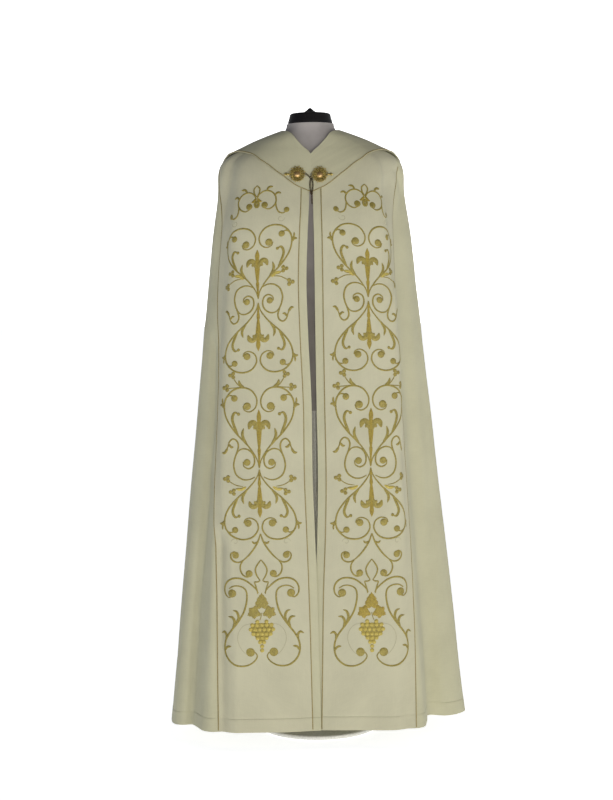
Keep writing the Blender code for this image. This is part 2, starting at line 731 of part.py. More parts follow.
def tube(profile, segments=24):
    """The collar round the pole's foot, from a closed loop of (radius, height) pairs."""
    points = []
    for step in range(segments):
        angle = 2.0 * math.pi * step / segments
        for radius, height in profile:
            points.append((radius * math.cos(angle), radius * math.sin(angle), height))
    size = len(profile)
    faces = []
    for step in range(segments):
        after = (step + 1) % segments
        for index in range(size):
            a = step * size + index
            b = step * size + (index + 1) % size
            c = after * size + (index + 1) % size
            d = after * size + index
            faces += [(a, d, c), (a, c, b)]
    return add_mesh("stand_collar", points, faces, white_metal())


def main():
    clear_scene()
    right = Half(RIGHT_STATIONS, 1)
    left = Half(LEFT_STATIONS, -1)
    right_grid, right_normals = cope_half(right, "right")
    left_grid, left_normals = cope_half(left, "left")
    hood(right, left)
    clasp(right, left)
    dress_form(right_grid, right_normals, left_grid, left_normals)
    stand()


main()
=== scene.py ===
"""The cope vestment on its dress form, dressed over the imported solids.

Every layer of cloth is worked out from the same surface as its solid, sampled finely, with
the soft folds added along its normals. Lengths are in metres, and the ornament is in millimetres.
"""

import math

import bpy
import numpy as np
from mathutils import Matrix, Vector


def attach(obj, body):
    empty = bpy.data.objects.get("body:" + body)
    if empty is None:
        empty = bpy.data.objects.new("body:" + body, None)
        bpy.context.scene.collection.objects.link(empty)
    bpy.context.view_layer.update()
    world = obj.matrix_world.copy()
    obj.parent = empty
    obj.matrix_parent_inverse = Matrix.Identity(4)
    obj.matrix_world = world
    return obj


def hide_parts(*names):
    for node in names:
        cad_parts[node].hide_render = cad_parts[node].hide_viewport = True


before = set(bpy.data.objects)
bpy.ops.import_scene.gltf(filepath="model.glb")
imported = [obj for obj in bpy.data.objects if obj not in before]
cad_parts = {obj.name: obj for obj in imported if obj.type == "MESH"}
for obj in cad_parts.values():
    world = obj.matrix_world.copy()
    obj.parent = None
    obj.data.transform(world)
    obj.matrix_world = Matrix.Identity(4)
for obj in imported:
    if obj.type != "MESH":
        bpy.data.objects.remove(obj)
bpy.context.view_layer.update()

WALL = 0.0015  # thickness of the cope and of its hood
BAND_WALL = 0.0012  # thickness of the embroidered bands
GAP = 0.0003  # space left between two pieces that touch
EDGE_STRIP = 0.02  # plain strip between the front edge and the inner piping
BAND_WIDTH = 0.23  # from the inner piping to the outer piping
PIPING_WIDTH = 0.0026
HEM_HEIGHT = 0.03
FRONT_HEM_HEIGHT = 0.04
FRONT_HEM_END = 0.36
SIDE_HEM_START = 0.5
NECK_V_RING = 5.25
NECK_V_REACH = 0.095
CURVE_SAMPLES = 500
CHEST_ROUNDING = (-0.04, -0.02, 0.02, 0.04)  # heights over which the chest is rounded
HOOD_LIFT = 0.0048
HOOD_NECK_LIFT = 0.0008
HOOD_BACK_LIFT = 0.006
HOOD_MEETING = 14  # columns over which the hood's fronts come level
NECK_TOP = 1.516
NECK_WIDTH = 0.119
NECK_DEPTH = 0.124
ROSETTE_WIDTH = 0.0395
ROSETTE_TALL = 0.042
ROSETTE_LEFT = (-0.034, 1.3815)
ROSETTE_RIGHT = (0.0216, 1.3795)
PETALS = 12
RIGHT_SEAT = 0.0013  # the right front of the hood comes forward to meet the left one
SHOULDER_ROWS = 52
BODY_ROWS = 150
FRONT_STEPS = 34
SIDE_STEPS = 126
HOOD_COLUMNS = 100  # of each side
HOOD_ROWS = 40
NEAR_FRONT = 60  # samples of a curve that are near its centre front
ROUNDED = 0.06  # reach of the rounding about the chest
FADE_BELOW, FADE_ABOVE = 0.1, 0.05  # heights over which a soft fold fades out
SWAY = 0.0009  # size of the slight unevenness of the whole cloth
HEM_FOLD = 0.0325  # height of the turned hem
BACK_SEAM = 0.0003  # gap between the halves at the centre back
FRONT_LEVEL = 4.2  # first level of the tables of the fronts
CORD_RADIUS = 0.0011
CORD_SQUASH = 0.85
PIPING_RUN = (1.405, 0.0415, -0.003)  # heights of its top and its end, and the step between points
PIPING_SEAT = 0.0009
HOOD_CORD_RISE, HOOD_CORD_SET = 0.0008, 0.0012  # out of the hood and in from its edge
SHOULDER_SHAPE = (0.2, 0.108)  # half width and depth of the oval that the form's columns follow
NECK_ROWS = 15
TORSO_ROWS = 46

# Rings of the surface from the neck to the chest: height, half width, front, back, roundness.
RINGS = np.array([
    (1.496, 0.066, 0.064, 0.07, 1.0), (1.4885, 0.088, 0.067, 0.078, 1.0),
    (1.4785, 0.115, 0.071, 0.086, 0.95), (1.4665, 0.144, 0.075, 0.094, 0.9),
    (1.4525, 0.173, 0.08, 0.101, 0.8), (1.439, 0.2, 0.086, 0.108, 0.7),
    (1.419, 0.225, 0.094, 0.116, 0.5), (1.39, 0.2345, 0.105, 0.125, 0.32),
    (1.35, 0.235, 0.118, 0.134, 0.18), (1.305, 0.2385, 0.132, 0.141, 0.07),
    (1.26, 0.247, 0.144, 0.146, 0.0),
])
CHEST_RING = len(RINGS) - 1
CHEST_HEIGHT, CHEST_HALF_WIDTH, CHEST_FRONT, CHEST_BACK = RINGS[-1][:4]

# Plan of each half, from past the centre front to the centre back: chest x, y and hem x, y.
RIGHT_STATIONS = [
    (-0.04, -0.141, -0.04, -0.199), (0.0, -0.142, 0.0, -0.203), (0.08, -0.145, 0.1, -0.211),
    (0.15, -0.14, 0.2, -0.211), (0.184, -0.121, 0.25, -0.192), (0.187, -0.088, 0.263, -0.138),
    (0.203, -0.053, 0.272, -0.08), (0.232, -0.022, 0.318, -0.062), (0.248, 0.012, 0.368, -0.005),
    (0.243, 0.042, 0.35, 0.062), (0.222, 0.064, 0.286, 0.084), (0.214, 0.082, 0.312, 0.142),
    (0.199, 0.104, 0.304, 0.196), (0.178, 0.114, 0.25, 0.196), (0.154, 0.118, 0.198, 0.152),
    (0.13, 0.129, 0.18, 0.226), (0.106, 0.14, 0.142, 0.272), (0.082, 0.14, 0.104, 0.238),
    (0.056, 0.136, 0.076, 0.182), (0.028, 0.142, 0.046, 0.246), (0.0, 0.146, 0.0, 0.282),
]
LEFT_STATIONS = [
    (0.04, -0.146, 0.04, -0.206), (0.0, -0.147, 0.0, -0.209), (-0.085, -0.15, -0.105, -0.217),
    (-0.155, -0.144, -0.208, -0.215), (-0.195, -0.125, -0.278, -0.197), (-0.21, -0.096, -0.305, -0.148),
    (-0.232, -0.068, -0.342, -0.128), (-0.247, -0.022, -0.371, -0.052), (-0.243, 0.022, -0.356, 0.026),
    (-0.223, 0.05, -0.29, 0.058), (-0.216, 0.072, -0.322, 0.118), (-0.203, 0.098, -0.312, 0.18),
    (-0.182, 0.11, -0.258, 0.186), (-0.158, 0.115, -0.206, 0.144), (-0.134, 0.127, -0.192, 0.218),
    (-0.11, 0.139, -0.152, 0.268), (-0.085, 0.139, -0.11, 0.236), (-0.058, 0.136, -0.08, 0.186),
    (-0.029, 0.142, -0.046, 0.25), (0.0, 0.146, 0.0, 0.282),
]
# Front edges of the two halves: height, right x, left x.
FRONT_EDGES = np.array([
    (0.06, -0.014, 0.0032), (0.21, -0.01, 0.0016), (0.38, -0.0048, -0.001), (0.5, 0.0012, -0.0038),
    (0.64, 0.0053, -0.0075), (0.82, 0.0047, -0.0074), (1.0, 0.0044, -0.0133), (1.12, 0.0047, -0.0152),
    (1.22, 0.0048, -0.0116), (1.32, 0.0039, -0.0058), (1.4, 0.004, -0.004), (1.5, 0.004, -0.004),
])
# Lower edge of the hood: part of the way round from the centre front, height.
HOOD_EDGES = np.array([
    (0.0, 1.336), (0.07, 1.357), (0.125, 1.383), (0.18, 1.405), (0.25, 1.425), (0.33, 1.437),
    (0.47, 1.438), (0.56, 1.418), (0.63, 1.34), (0.7, 1.225), (0.78, 1.12), (0.88, 1.036), (1.0, 0.99),
])
# The torso below the shoulders: height, half width, front, back.
FORM_RINGS = np.array([
    (1.23, 0.186, 0.122, 0.113), (1.12, 0.165, 0.112, 0.098), (1.01, 0.153, 0.1, 0.09),
    (0.89, 0.176, 0.11, 0.116), (0.8, 0.17, 0.104, 0.112),
])


def smooth_value(knots, values, position):
    """A smooth curve through values (one or more columns) at the knots, read at position."""
    slopes = np.gradient(values, knots, axis=0)
    start = np.clip(np.searchsorted(knots, position) - 1, 0, len(knots) - 2)
    width = knots[start + 1] - knots[start]
    part = (position - knots[start]) / width
    if values.ndim > 1:
        width, part = np.asarray(width)[..., None], np.asarray(part)[..., None]
    ease = part * part * (3.0 - 2.0 * part)
    lead = part * (1.0 - part) ** 2 * width
    tail = part * part * (part - 1.0) * width
    ends = values[start] * (1.0 - ease) + values[start + 1] * ease
    return ends + slopes[start] * lead + slopes[start + 1] * tail


def between(table, row, column):
    """Values of a table [row, column, ...] at real-numbered rows and columns."""
    row = np.clip(row, 0.0, table.shape[0] - 1.001)
    column = np.clip(column, 0.0, table.shape[1] - 1.001)
    r, c = row.astype(int), column.astype(int)
    a, b = row - r, column - c
    if table.ndim > 2:
        a, b = a[..., None], b[..., None]
    low = table[r, c] * (1.0 - b) + table[r, c + 1] * b
    high = table[r + 1, c] * (1.0 - b) + table[r + 1, c + 1] * b
    return low * (1.0 - a) + high * a


def walked(points, axis=0):
    """Distance walked from point to point along an axis of an array of points."""
    steps = np.linalg.norm(np.diff(points, axis=axis), axis=-1)
    return np.cumsum(np.insert(steps, 0, 0.0, axis=axis), axis=axis)


def stacked(x, y, z):
    """Points from their coordinates."""
    return np.stack(np.broadcast_arrays(x, y, z), axis=-1)


def unit(vectors):
    return vectors / np.maximum(np.linalg.norm(vectors, axis=-1, keepdims=True), 1e-12)


def grid_normals(grid, outward):
    """Unit normals of a grid of points [down, across], out of the cloth."""
    return unit(np.cross(*np.gradient(grid, axis=(0, 1))) * outward)


class Half:
    """One half of the cope's surface; side is 1 for the right half of the front view. A place on
    it is (level, place): level 0 is the neck, CHEST_RING the chest and CHEST_RING + 1 the hem;
    place runs from 0 just past the centre front to 1 at the centre back."""

    def __init__(self, stations, side, folds):
        self.side, self.folds = side, folds
        rows = np.array([*stations, np.array(stations[-2]) * (-1, 1, -1, 1)])
        knots = walked(rows[:, :2]) + walked(rows[:, 2:])
        self.places = np.linspace(0.0, 1.0, CURVE_SAMPLES)
        plan = smooth_value(knots, rows, self.places * knots[-2])
        self.chest, self.hem = plan[:, :2], plan[:, 2:]
        arc = walked(self.chest)
        self.chest_arc = arc - np.interp(0.0, side * self.chest[:NEAR_FRONT, 0], arc[:NEAR_FRONT])
        self.around = self.chest_arc / self.chest_arc[-1]
        depth = np.where(self.chest[:, 1] < 0.0, CHEST_FRONT, CHEST_BACK)
        self.unit = self.chest / np.column_stack([np.full(len(depth), CHEST_HALF_WIDTH), depth])
        self.swell = np.hypot(self.unit[:, 0], self.unit[:, 1])
        drop = np.clip((self.around - FRONT_HEM_END) / (SIDE_HEM_START - FRONT_HEM_END), 0.0, 1.0)
        drop = drop * drop * (3.0 - 2.0 * drop)
        self.hem_height = FRONT_HEM_HEIGHT + (HEM_HEIGHT - FRONT_HEM_HEIGHT) * drop
        above, below = np.linspace(0.0, CHEST_RING, 401), CHEST_RING + np.linspace(0.0, 1.0, 161)[1:]
        self.levels = np.append(above, below)
        self.lines = np.array([self.section(level) for level in self.levels])
        self.round_chest()
        walks = walked(self.lines[:, :, :2], 1)
        starts = np.array([np.interp(self.front_edge(line), np.arange(CURVE_SAMPLES), walk)
                           for line, walk in zip(self.lines, walks)])
        # Distance from the front edge, as at the chest: the cloth is gathered towards the neck.
        widths = np.ptp(self.lines[:, :, 0], axis=1) / np.ptp(self.chest[:, 0])
        shrink = np.where(self.levels < CHEST_RING, np.minimum(1.0, 1.07 * widths), 1.0)
        self.walks = (walks - starts[:, None]) / shrink[:, None]

    def section(self, level):
        """The line round this half at one level, as many points as self.places."""
        if level <= CHEST_RING:
            ring = smooth_value(np.arange(len(RINGS), dtype=float), RINGS, level)
            height, half_width, front, back, roundness = ring
            pull = self.swell**-roundness
            x, y = self.unit.T
            depth = np.where(y < 0.0, front, back)
            return stacked(x * half_width * pull, y * depth * pull, height)
        part = level - CHEST_RING
        plan = self.chest * (1.0 - part) + self.hem * part
        height = CHEST_HEIGHT + (self.hem_height - CHEST_HEIGHT) * part
        return np.column_stack([plan, height])

    def round_chest(self):
        """Rounds the lines over where the rings of the shoulders meet the straight fall below."""
        height = self.lines[:, 0, 2]
        total = self.lines.copy()
        for shift in CHEST_ROUNDING:
            row = np.interp(height + shift, height[::-1], np.arange(len(height))[::-1])
            total += between(self.lines, *np.broadcast_arrays(row[:, None], np.arange(CURVE_SAMPLES)))
        near = np.exp(-(((height - CHEST_HEIGHT) / ROUNDED) ** 2))[:, None, None]
        self.lines[..., :2] += ((total / (len(CHEST_ROUNDING) + 1) - self.lines) * near)[..., :2]

    def front_edge(self, line):
        """Index, as a real number, at which a section meets this half's front edge."""
        edges = FRONT_EDGES[:, 1 if self.side > 0 else 2]
        edge = smooth_value(FRONT_EDGES[:, 0], edges, line[0, 2])
        near = CURVE_SAMPLES // 5
        return np.interp(self.side * edge, self.side * line[:near, 0], np.arange(near))

    def row_of(self, level):
        return np.interp(level, self.levels, np.arange(len(self.levels)))

    def point(self, level, place):
        """Points of the plain surface; level and place are arrays of one shape."""
        return between(self.lines, self.row_of(level), place * (CURVE_SAMPLES - 1))

    def neck_level(self, place):
        arc = np.interp(place, self.places, self.chest_arc)
        return NECK_V_RING * np.exp(-np.maximum(arc, 0.0) / NECK_V_REACH)

    def place_of(self, level):
        """Places of a row's columns: FRONTS at their distance from the front edge, and SIDE_STEPS
        columns that share what is left."""
        row = self.row_of(level)
        low = int(min(row, len(self.levels) - 1.001))
        part = row - low
        walk = self.walks[low] * (1.0 - part) + self.walks[low + 1] * part
        front = np.interp(FRONTS, walk, self.places)
        rest = front[-1] + (1.0 - front[-1]) * np.arange(1, SIDE_STEPS + 1) / SIDE_STEPS
        return np.concatenate([front, rest])

    def relief(self, points, level, place):
        """How far the soft folds lift the surface at its points."""
        height = points[..., 2]
        distance = between(self.walks, self.row_of(level), place * (CURVE_SAMPLES - 1))
        around = np.interp(place, self.places, self.around)
        total = np.zeros(height.shape)
        for kind, width, depth, path in self.folds:
            heights, middles = np.array(path)[::-1].T
            middle = np.interp(height, heights, middles)
            across = distance if kind == "edge" else around * self.chest_arc[-1]
            ends = (heights[0] - FADE_BELOW, heights[0], heights[-1], heights[-1] + FADE_ABOVE)
            fade = np.interp(height, ends, [0.0, 1.0, 1.0, 0.0])
            total += depth * fade * np.exp(-(((across - middle) / width) ** 2))
        full = np.clip((1.3 - height) / 0.5, 0.0, 1.0)
        sway = np.sin(distance * 31.0 + height * 3.1 + self.side) * np.sin(height * 7.3 + distance * 9.0)
        sway += 0.6 * np.sin(distance * 53.0 - height * 4.7) * np.sin(height * 12.1 + 2.0 * self.side)
        return total + sway * SWAY * (0.25 + full)

    def surface(self, level, place):
        """Points and normals of the surface with its folds, on a grid [down, across]."""
        plain = self.point(level, place)
        normals = grid_normals(plain, self.side)
        grid = plain + normals * self.relief(plain, level, place)[..., None]
        normals = grid_normals(grid, self.side)
        normals[:, -1] = unit(normals[:, -1] * (0.0, 1.0, 1.0))
        return grid, normals


def circle(count):
    """Angles of a full turn in equal steps."""
    return 2.0 * np.pi * np.arange(count) / count


def quads(rows, columns, closed=False, inward=False):
    """Faces of a grid of points; closed joins its last column to its first."""
    row, column = np.mgrid[: rows - 1, : columns - (not closed)]
    a = (row * columns + column).ravel()
    b = (row * columns + (column + 1) % columns).ravel()
    corners = (a, a + columns, b + columns, b) if inward else (a, b, b + columns, a + columns)
    return np.stack(corners, axis=1)


def capped(rows, columns, inward=False):
    """Faces of a closed grid and of its first and last row."""
    first, last = list(range(columns)), list(range((rows - 1) * columns, rows * columns))
    ends = [first, last[::-1]] if inward else [first[::-1], last]
    return quads(rows, columns, True, inward).tolist() + ends


def add_object(name, data):
    item = bpy.data.objects.new(name, data)
    bpy.context.collection.objects.link(item)
    return item


def add_mesh(name, points, faces, material, uvs=None, sharp=None):
    """A smooth-shaded mesh object; uvs maps the name of a UV map to one UV per face corner."""
    mesh = bpy.data.meshes.new(name)
    points = np.asarray(points, dtype=float).reshape(-1, 3)
    mesh.from_pydata(points.tolist(), [], [tuple(map(int, face)) for face in faces])
    for layer, values in (uvs or {}).items():
        mesh.uv_layers.new(name=layer)
        mesh.uv_layers[layer].uv.foreach_set("vector", np.asarray(values, dtype=float).ravel())
    mesh.materials.append(material)
    mesh.shade_smooth()
    if sharp:
        mesh.set_sharp_from_angle(angle=math.radians(sharp))
    return add_object(name, mesh)


def ride(piece, slot, *nodes):
    """Fixes a piece to the part, as the stand-in for CAD nodes."""
    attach(piece, "root")
    if nodes:
        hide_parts(*nodes)
    return piece


def shell(name, grid, normals, lift, wall, material, flip):
    """A closed sheet of cloth whose inner side is lift above a grid of points."""
    rows, cols = grid.shape[:2]
    size = rows * cols
    points = np.concatenate([grid + normals * (lift + wall), grid + normals * lift])
    cloth_uv = np.stack([walked(grid, 1), -walked(grid)], axis=-1).reshape(-1, 2)
    r, c = np.mgrid[0:rows, 0:cols]
    chart = np.stack([c / (cols - 1), r / (rows - 1)], axis=-1).reshape(-1, 2) * 0.47 + 0.01
    outer = quads(rows, cols, inward=True)
    faces = [outer, outer[:, ::-1] + size]
    charts = [chart[outer], chart[outer[:, ::-1]] + (0.5, 0.0)]
    index = np.arange(size).reshape(rows, cols)
    rims = (index[0], index[:, -1], index[-1, ::-1], index[::-1, 0])
    for line, out in zip(rims, ((0, -1), (1, 0), (0, 1), (-1, 0))):
        p, q = line[:-1], line[1:]
        faces.append(np.stack([p, q, q + size, p + size], axis=1))
        edge = np.stack([chart[p], chart[q]], axis=1)
        charts.append(np.concatenate([edge, edge[:, ::-1] + np.array(out) * 0.004], axis=1))
    step = -1 if flip else 1
    faces, charts = np.concatenate(faces)[:, ::step], np.concatenate(charts)[:, ::step]
    uvs = {"cloth": np.concatenate([cloth_uv, cloth_uv])[faces], "OFBake": charts}
    return add_mesh(name, points, faces, material, uvs, 60.0)


def tube(name, path, up, radius, material, sides=6, squash=1.0):
    """A round cord along a path, with its length and turn as a UV map named thread."""
    along = unit(np.gradient(path, axis=0))
    side = unit(np.cross(along, up))
    rise = unit(np.cross(side, along))
    turn = circle(sides)[:, None]
    points = path[:, None] + (side[:, None] * np.cos(turn) + rise[:, None] * np.sin(turn) * squash) * radius
    faces = quads(len(path), sides, True)
    turns = (faces[:, :1] % sides) / sides + np.array((0.0, 1.0, 1.0, 0.0)) / sides
    uv = np.stack([walked(path)[faces // sides], turns], axis=-1).reshape(-1, 2)
    uv = np.concatenate([uv, np.zeros((2 * sides, 2))])
    return add_mesh(name, points, capped(len(path), sides), material, {"thread": uv})


def cord(name, path, normals):
    """A twisted cord that lies on the cloth."""
    return tube(name, path, normals, CORD_RADIUS, CORD, 8, CORD_SQUASH)


def turned(name, profile, material, segments=64, depth=1.0, ring=False):
    """A solid of revolution about Z from (radius, height) pairs, bottom to top; a ring has a bore."""
    reach, height = np.array(profile).T[..., None]
    turn = circle(segments)
    points = stacked(reach * np.cos(turn), reach * np.sin(turn) * depth, height)
    if ring:
        faces = quads(len(profile) + 1, segments, True) % (len(profile) * segments)
        return add_mesh(name, points, faces, material)
    return add_mesh(name, points, capped(len(profile), segments), material, sharp=40.0)


def join(name, items):
    """One object from several meshes that share their materials by slot."""
    spots, faces, slots, materials, uvs, offset = [], [], [], [], [], 0
    for item in items:
        mesh = item.data
        points = np.empty(len(mesh.vertices) * 3)
        mesh.vertices.foreach_get("co", points)
        spots.append(points.reshape(-1, 3))
        if mesh.materials[0] not in materials:
            materials.append(mesh.materials[0])
        uv = np.zeros(len(mesh.loops) * 2)
        if mesh.uv_layers:
            mesh.uv_layers[0].uv.foreach_get("vector", uv)
        uvs.append(uv)
        faces += [[index + offset for index in polygon.vertices] for polygon in mesh.polygons]
        slots += [materials.index(mesh.materials[0])] * len(mesh.polygons)
        offset += len(mesh.vertices)
        bpy.data.objects.remove(item, do_unlink=True)
    whole = add_mesh(name, np.concatenate(spots), faces, materials[0], {"thread": np.concatenate(uvs)})
    for material in materials[1:]:
        whole.data.materials.append(material)
    whole.data.polygons.foreach_set("material_index", slots)
    return whole


def node(tree, kind, values=None, **settings):
    """Adds a node; each of values, by the name or number of its input, is a number or an output."""
    item = tree.nodes.new("ShaderNode" + kind)
    for key, value in settings.items():
        setattr(item, key, value)
    for key, value in (values or {}).items():
        if isinstance(value, bpy.types.NodeSocket):
            tree.links.new(value, item.inputs[key])
        else:
            item.inputs[key].default_value = value
    return item


def compute(tree, operation, *terms, kind="Math"):
    """A calculation with numbers and outputs."""
    return node(tree, kind, dict(enumerate(terms)), operation=operation).outputs[0]


def noise(tree, place, scale, detail, roughness=0.5):
    values = {"Vector": place, "Scale": scale, "Detail": detail, "Roughness": roughness}
    return node(tree, "TexNoise", values).outputs[0]


def new_material(name, colour, roughness, **more):
    """A Principled material, its node tree and its shader."""
    material = bpy.data.materials.new(name)
    material.use_nodes = True
    shader = material.node_tree.nodes["Principled BSDF"]
    for socket, value in {"Base Color": (*colour, 1.0), "Roughness": roughness, **more}.items():
        shader.inputs[socket.replace("_", " ")].default_value = value
    return material, material.node_tree, shader


def dress(tree, shader, tone, dark, light, ends, height, strength, distance):
    """Colours a shader by a ramp over tone, and roughens it by height."""
    ramp = node(tree, "ValToRGB", {0: tone})
    for element, position, colour in zip(ramp.color_ramp.elements, ends, (dark, light)):
        element.position, element.color = position, (*colour, 1.0)
    bump = node(tree, "Bump", {"Strength": strength, "Distance": distance, "Height": height})
    tree.links.new(ramp.outputs[0], shader.inputs["Base Color"])
    tree.links.new(bump.outputs[0], shader.inputs["Normal"])
    return ramp.outputs[0]


THROUGH = 0.12  # share of the light that a layer of cloth lets through
WEAVE = 1.0 / 0.0011 * 0.314  # scale of the wave texture for one thread each 1.1 mm


def cloth_material(name, light, dark):
    """Plain-woven wool blend: warp and weft threads, slubs along both, and faint mottling."""
    material, tree, shader = new_material(name, light, 0.82, Sheen_Weight=0.1, Sheen_Roughness=0.5,
                                          Specular_IOR_Level=0.25)
    place = node(tree, "UVMap", uv_map="cloth").outputs[0]
    slubs, threads = [], []
    for axis, stretch in (("X", (45.0, 420.0, 1.0)), ("Y", (520.0, 30.0, 1.0))):
        mapped = node(tree, "Mapping", {"Vector": place, "Scale": stretch}).outputs[0]
        slubs.append(noise(tree, mapped, 1.0, 3.0))
        wave = node(tree, "TexWave", {"Vector": place, "Scale": WEAVE}, bands_direction=axis)
        threads.append(wave.outputs["Fac"])
    slubs = compute(tree, "ADD", *slubs)
    tone = compute(tree, "MULTIPLY_ADD", slubs, 0.35, noise(tree, place, 9.0, 4.0, 0.6))
    relief = compute(tree, "MULTIPLY_ADD", slubs, 0.8, compute(tree, "MULTIPLY", *threads))
    colour = dress(tree, shader, tone, dark, light, (0.62, 1.08), relief, 0.35, 0.0004)
    through = node(tree, "BsdfTranslucent", {"Color": colour}).outputs[0]
    blend = node(tree, "MixShader", {0: THROUGH, 1: shader.outputs[0], 2: through}).outputs[0]
    tree.links.new(blend, tree.nodes["Material Output"].inputs["Surface"])
    return material


def thread_material(name, colour, dark, metallic, pitch=0.0009, slant=0.35):
    """Metallic thread laid side by side: fine slanting stitches across the stroke, darkened in the grooves
    between them by painted shade, and lightened in spots by painted glints.
    """
    material, tree, shader = new_material(name, colour, 0.42, Metallic=metallic, Anisotropic=0.4)
    place = node(tree, "SeparateXYZ", {0: node(tree, "UVMap", uv_map="thread").outputs[0]}).outputs
    slanted = compute(tree, "MULTIPLY_ADD", place["Y"], pitch * slant * 6.0, place["X"])
    stitch = compute(tree, "SINE", compute(tree, "MULTIPLY", slanted, 2.0 * math.pi / pitch))
    level = compute(tree, "MULTIPLY_ADD", stitch, 0.5, 0.5)
    # The colour carries painted shade, darker in the grooves between stitches, and painted glints, lighter
    # spots from a fine noise.
    painted_glint = noise(tree, node(tree, "TexCoord").outputs["Object"], 260.0, 2.0)
    tone = compute(tree, "MULTIPLY_ADD", level, 0.35, painted_glint)
    dress(tree, shader, tone, dark, colour, (0.35, 0.8), level, 0.5, 0.0003)
    return material


def solid_material(name, colour, dark, light, ends, roughness, stain, grain, bump, **more):
    """Coloured by one noise over the object, stain, and roughened by another one, grain."""
    material, tree, shader = new_material(name, colour, roughness, **more)
    place = node(tree, "TexCoord").outputs["Object"]
    tone = noise(tree, place, *stain)
    height = tone if grain == stain else noise(tree, place, *grain)
    dress(tree, shader, tone, dark, light, ends, height, *bump)
    return material


def metal_material(name, colour, dark, roughness):
    """Cast metal, darkened by wear in its lows."""
    grain = (420.0, 4.0)
    return solid_material(name, colour, dark, colour, (0.35, 0.6), roughness, grain, grain,
                          (0.25, 0.0002), Metallic=0.85)


def lacquer_material(name, colour, roughness, ripple, coat, gloss):
    """Lacquer with a faint orange-peel surface."""
    grain, worn = (ripple, 2.0), tuple(value * 0.8 for value in colour)
    return solid_material(name, colour, worn, colour, (0.3, 0.7), roughness, grain, grain, (0.15, 0.0003),
                          Specular_IOR_Level=gloss, Coat_Weight=coat, Coat_Roughness=0.15)


CLOTH = cloth_material("cream_cloth", (0.598, 0.583, 0.412), (0.542, 0.528, 0.371))
BAND_CLOTH = cloth_material("band_cloth", (0.616, 0.596, 0.438), (0.558, 0.54, 0.396))
# The second colour of each thread is the painted shade of its stitch grooves.
THREAD = thread_material("gold_thread", (0.362, 0.296, 0.068), (0.15, 0.119, 0.03), 0.25)
AMBER = thread_material("amber_thread", (0.388, 0.294, 0.043), (0.174, 0.123, 0.02), 0.25)
PALE = thread_material("pale_thread", (0.56, 0.455, 0.103), (0.315, 0.244, 0.05), 0.2)
FAINT = thread_material("faint_thread", (0.47, 0.44, 0.29), (0.39, 0.365, 0.235), 0.0)
CORD = thread_material("cord_thread", (0.35, 0.275, 0.105), (0.19, 0.14, 0.052), 0.2, 0.0028, 1.0)
GILT = metal_material("gilt_metal", (0.64, 0.51, 0.17), (0.26, 0.195, 0.055), 0.32)
DARK_GILT = metal_material("dark_gilt", (0.33, 0.26, 0.085), (0.11, 0.084, 0.028), 0.45)
COPPER = metal_material("copper_dome", (0.72, 0.5, 0.23), (0.43, 0.275, 0.105), 0.38)
BRONZE = metal_material("bronze_chain", (0.13, 0.1, 0.058), (0.05, 0.038, 0.024), 0.38)
JERSEY = solid_material("grey_jersey", (0.335, 0.312, 0.308), (0.3, 0.28, 0.276), (0.362, 0.338, 0.332),
                        (0.3, 0.7), 0.9, (22.0, 3.0), (900.0, 2.0), (0.3, 0.0004), Sheen_Weight=0.1)
BLACK = lacquer_material("black_lacquer", (0.009, 0.008, 0.009), 0.55, 180.0, 0.04, 0.15)
WHITE = lacquer_material("white_lacquer", (0.8, 0.8, 0.77), 0.35, 240.0, 0.3, 0.5)


# Soft folds: follows, width, depth (+ lifts), heights and places from top to bottom. "edge" places
# are metres from the front edge and "round" places metres of arc at the chest.
RIGHT_FOLDS = [
    ("edge", 0.018, -0.0042, ((1.33, 0.178), (1.24, 0.186), (1.18, 0.19))),
    ("edge", 0.022, 0.005, ((1.3, 0.232), (1.2, 0.23), (1.1, 0.226))),
    ("edge", 0.02, 0.0045, ((1.08, 0.204), (1.0, 0.21), (0.9, 0.212))),
    ("edge", 0.008, -0.002, ((1.3, 0.256), (1.0, 0.257), (0.8, 0.257))),
    ("edge", 0.02, -0.0095, ((0.7, 0.226), (0.59, 0.23), (0.35, 0.236), (0.06, 0.23))),
    ("edge", 0.015, -0.0062, ((1.395, 0.244), (1.364, 0.268), (1.336, 0.286))),
    ("edge", 0.02, -0.004, ((1.1, 0.345), (0.6, 0.375), (0.06, 0.392))),
    ("edge", 0.016, 0.0022, ((0.85, 0.44), (0.4, 0.455), (0.05, 0.462))),
    ("round", 0.008, -0.0026, ((0.95, 0.355), (0.5, 0.35), (0.05, 0.346))),
    ("round", 0.007, 0.0022, ((0.7, 0.412), (0.3, 0.418), (0.05, 0.424))),
    ("round", 0.007, -0.0024, ((1.15, 0.47), (0.6, 0.476), (0.05, 0.48))),
    ("round", 0.006, 0.0022, ((0.8, 0.536), (0.05, 0.546))),
    ("round", 0.006, -0.002, ((0.6, 0.605), (0.05, 0.612))),
]
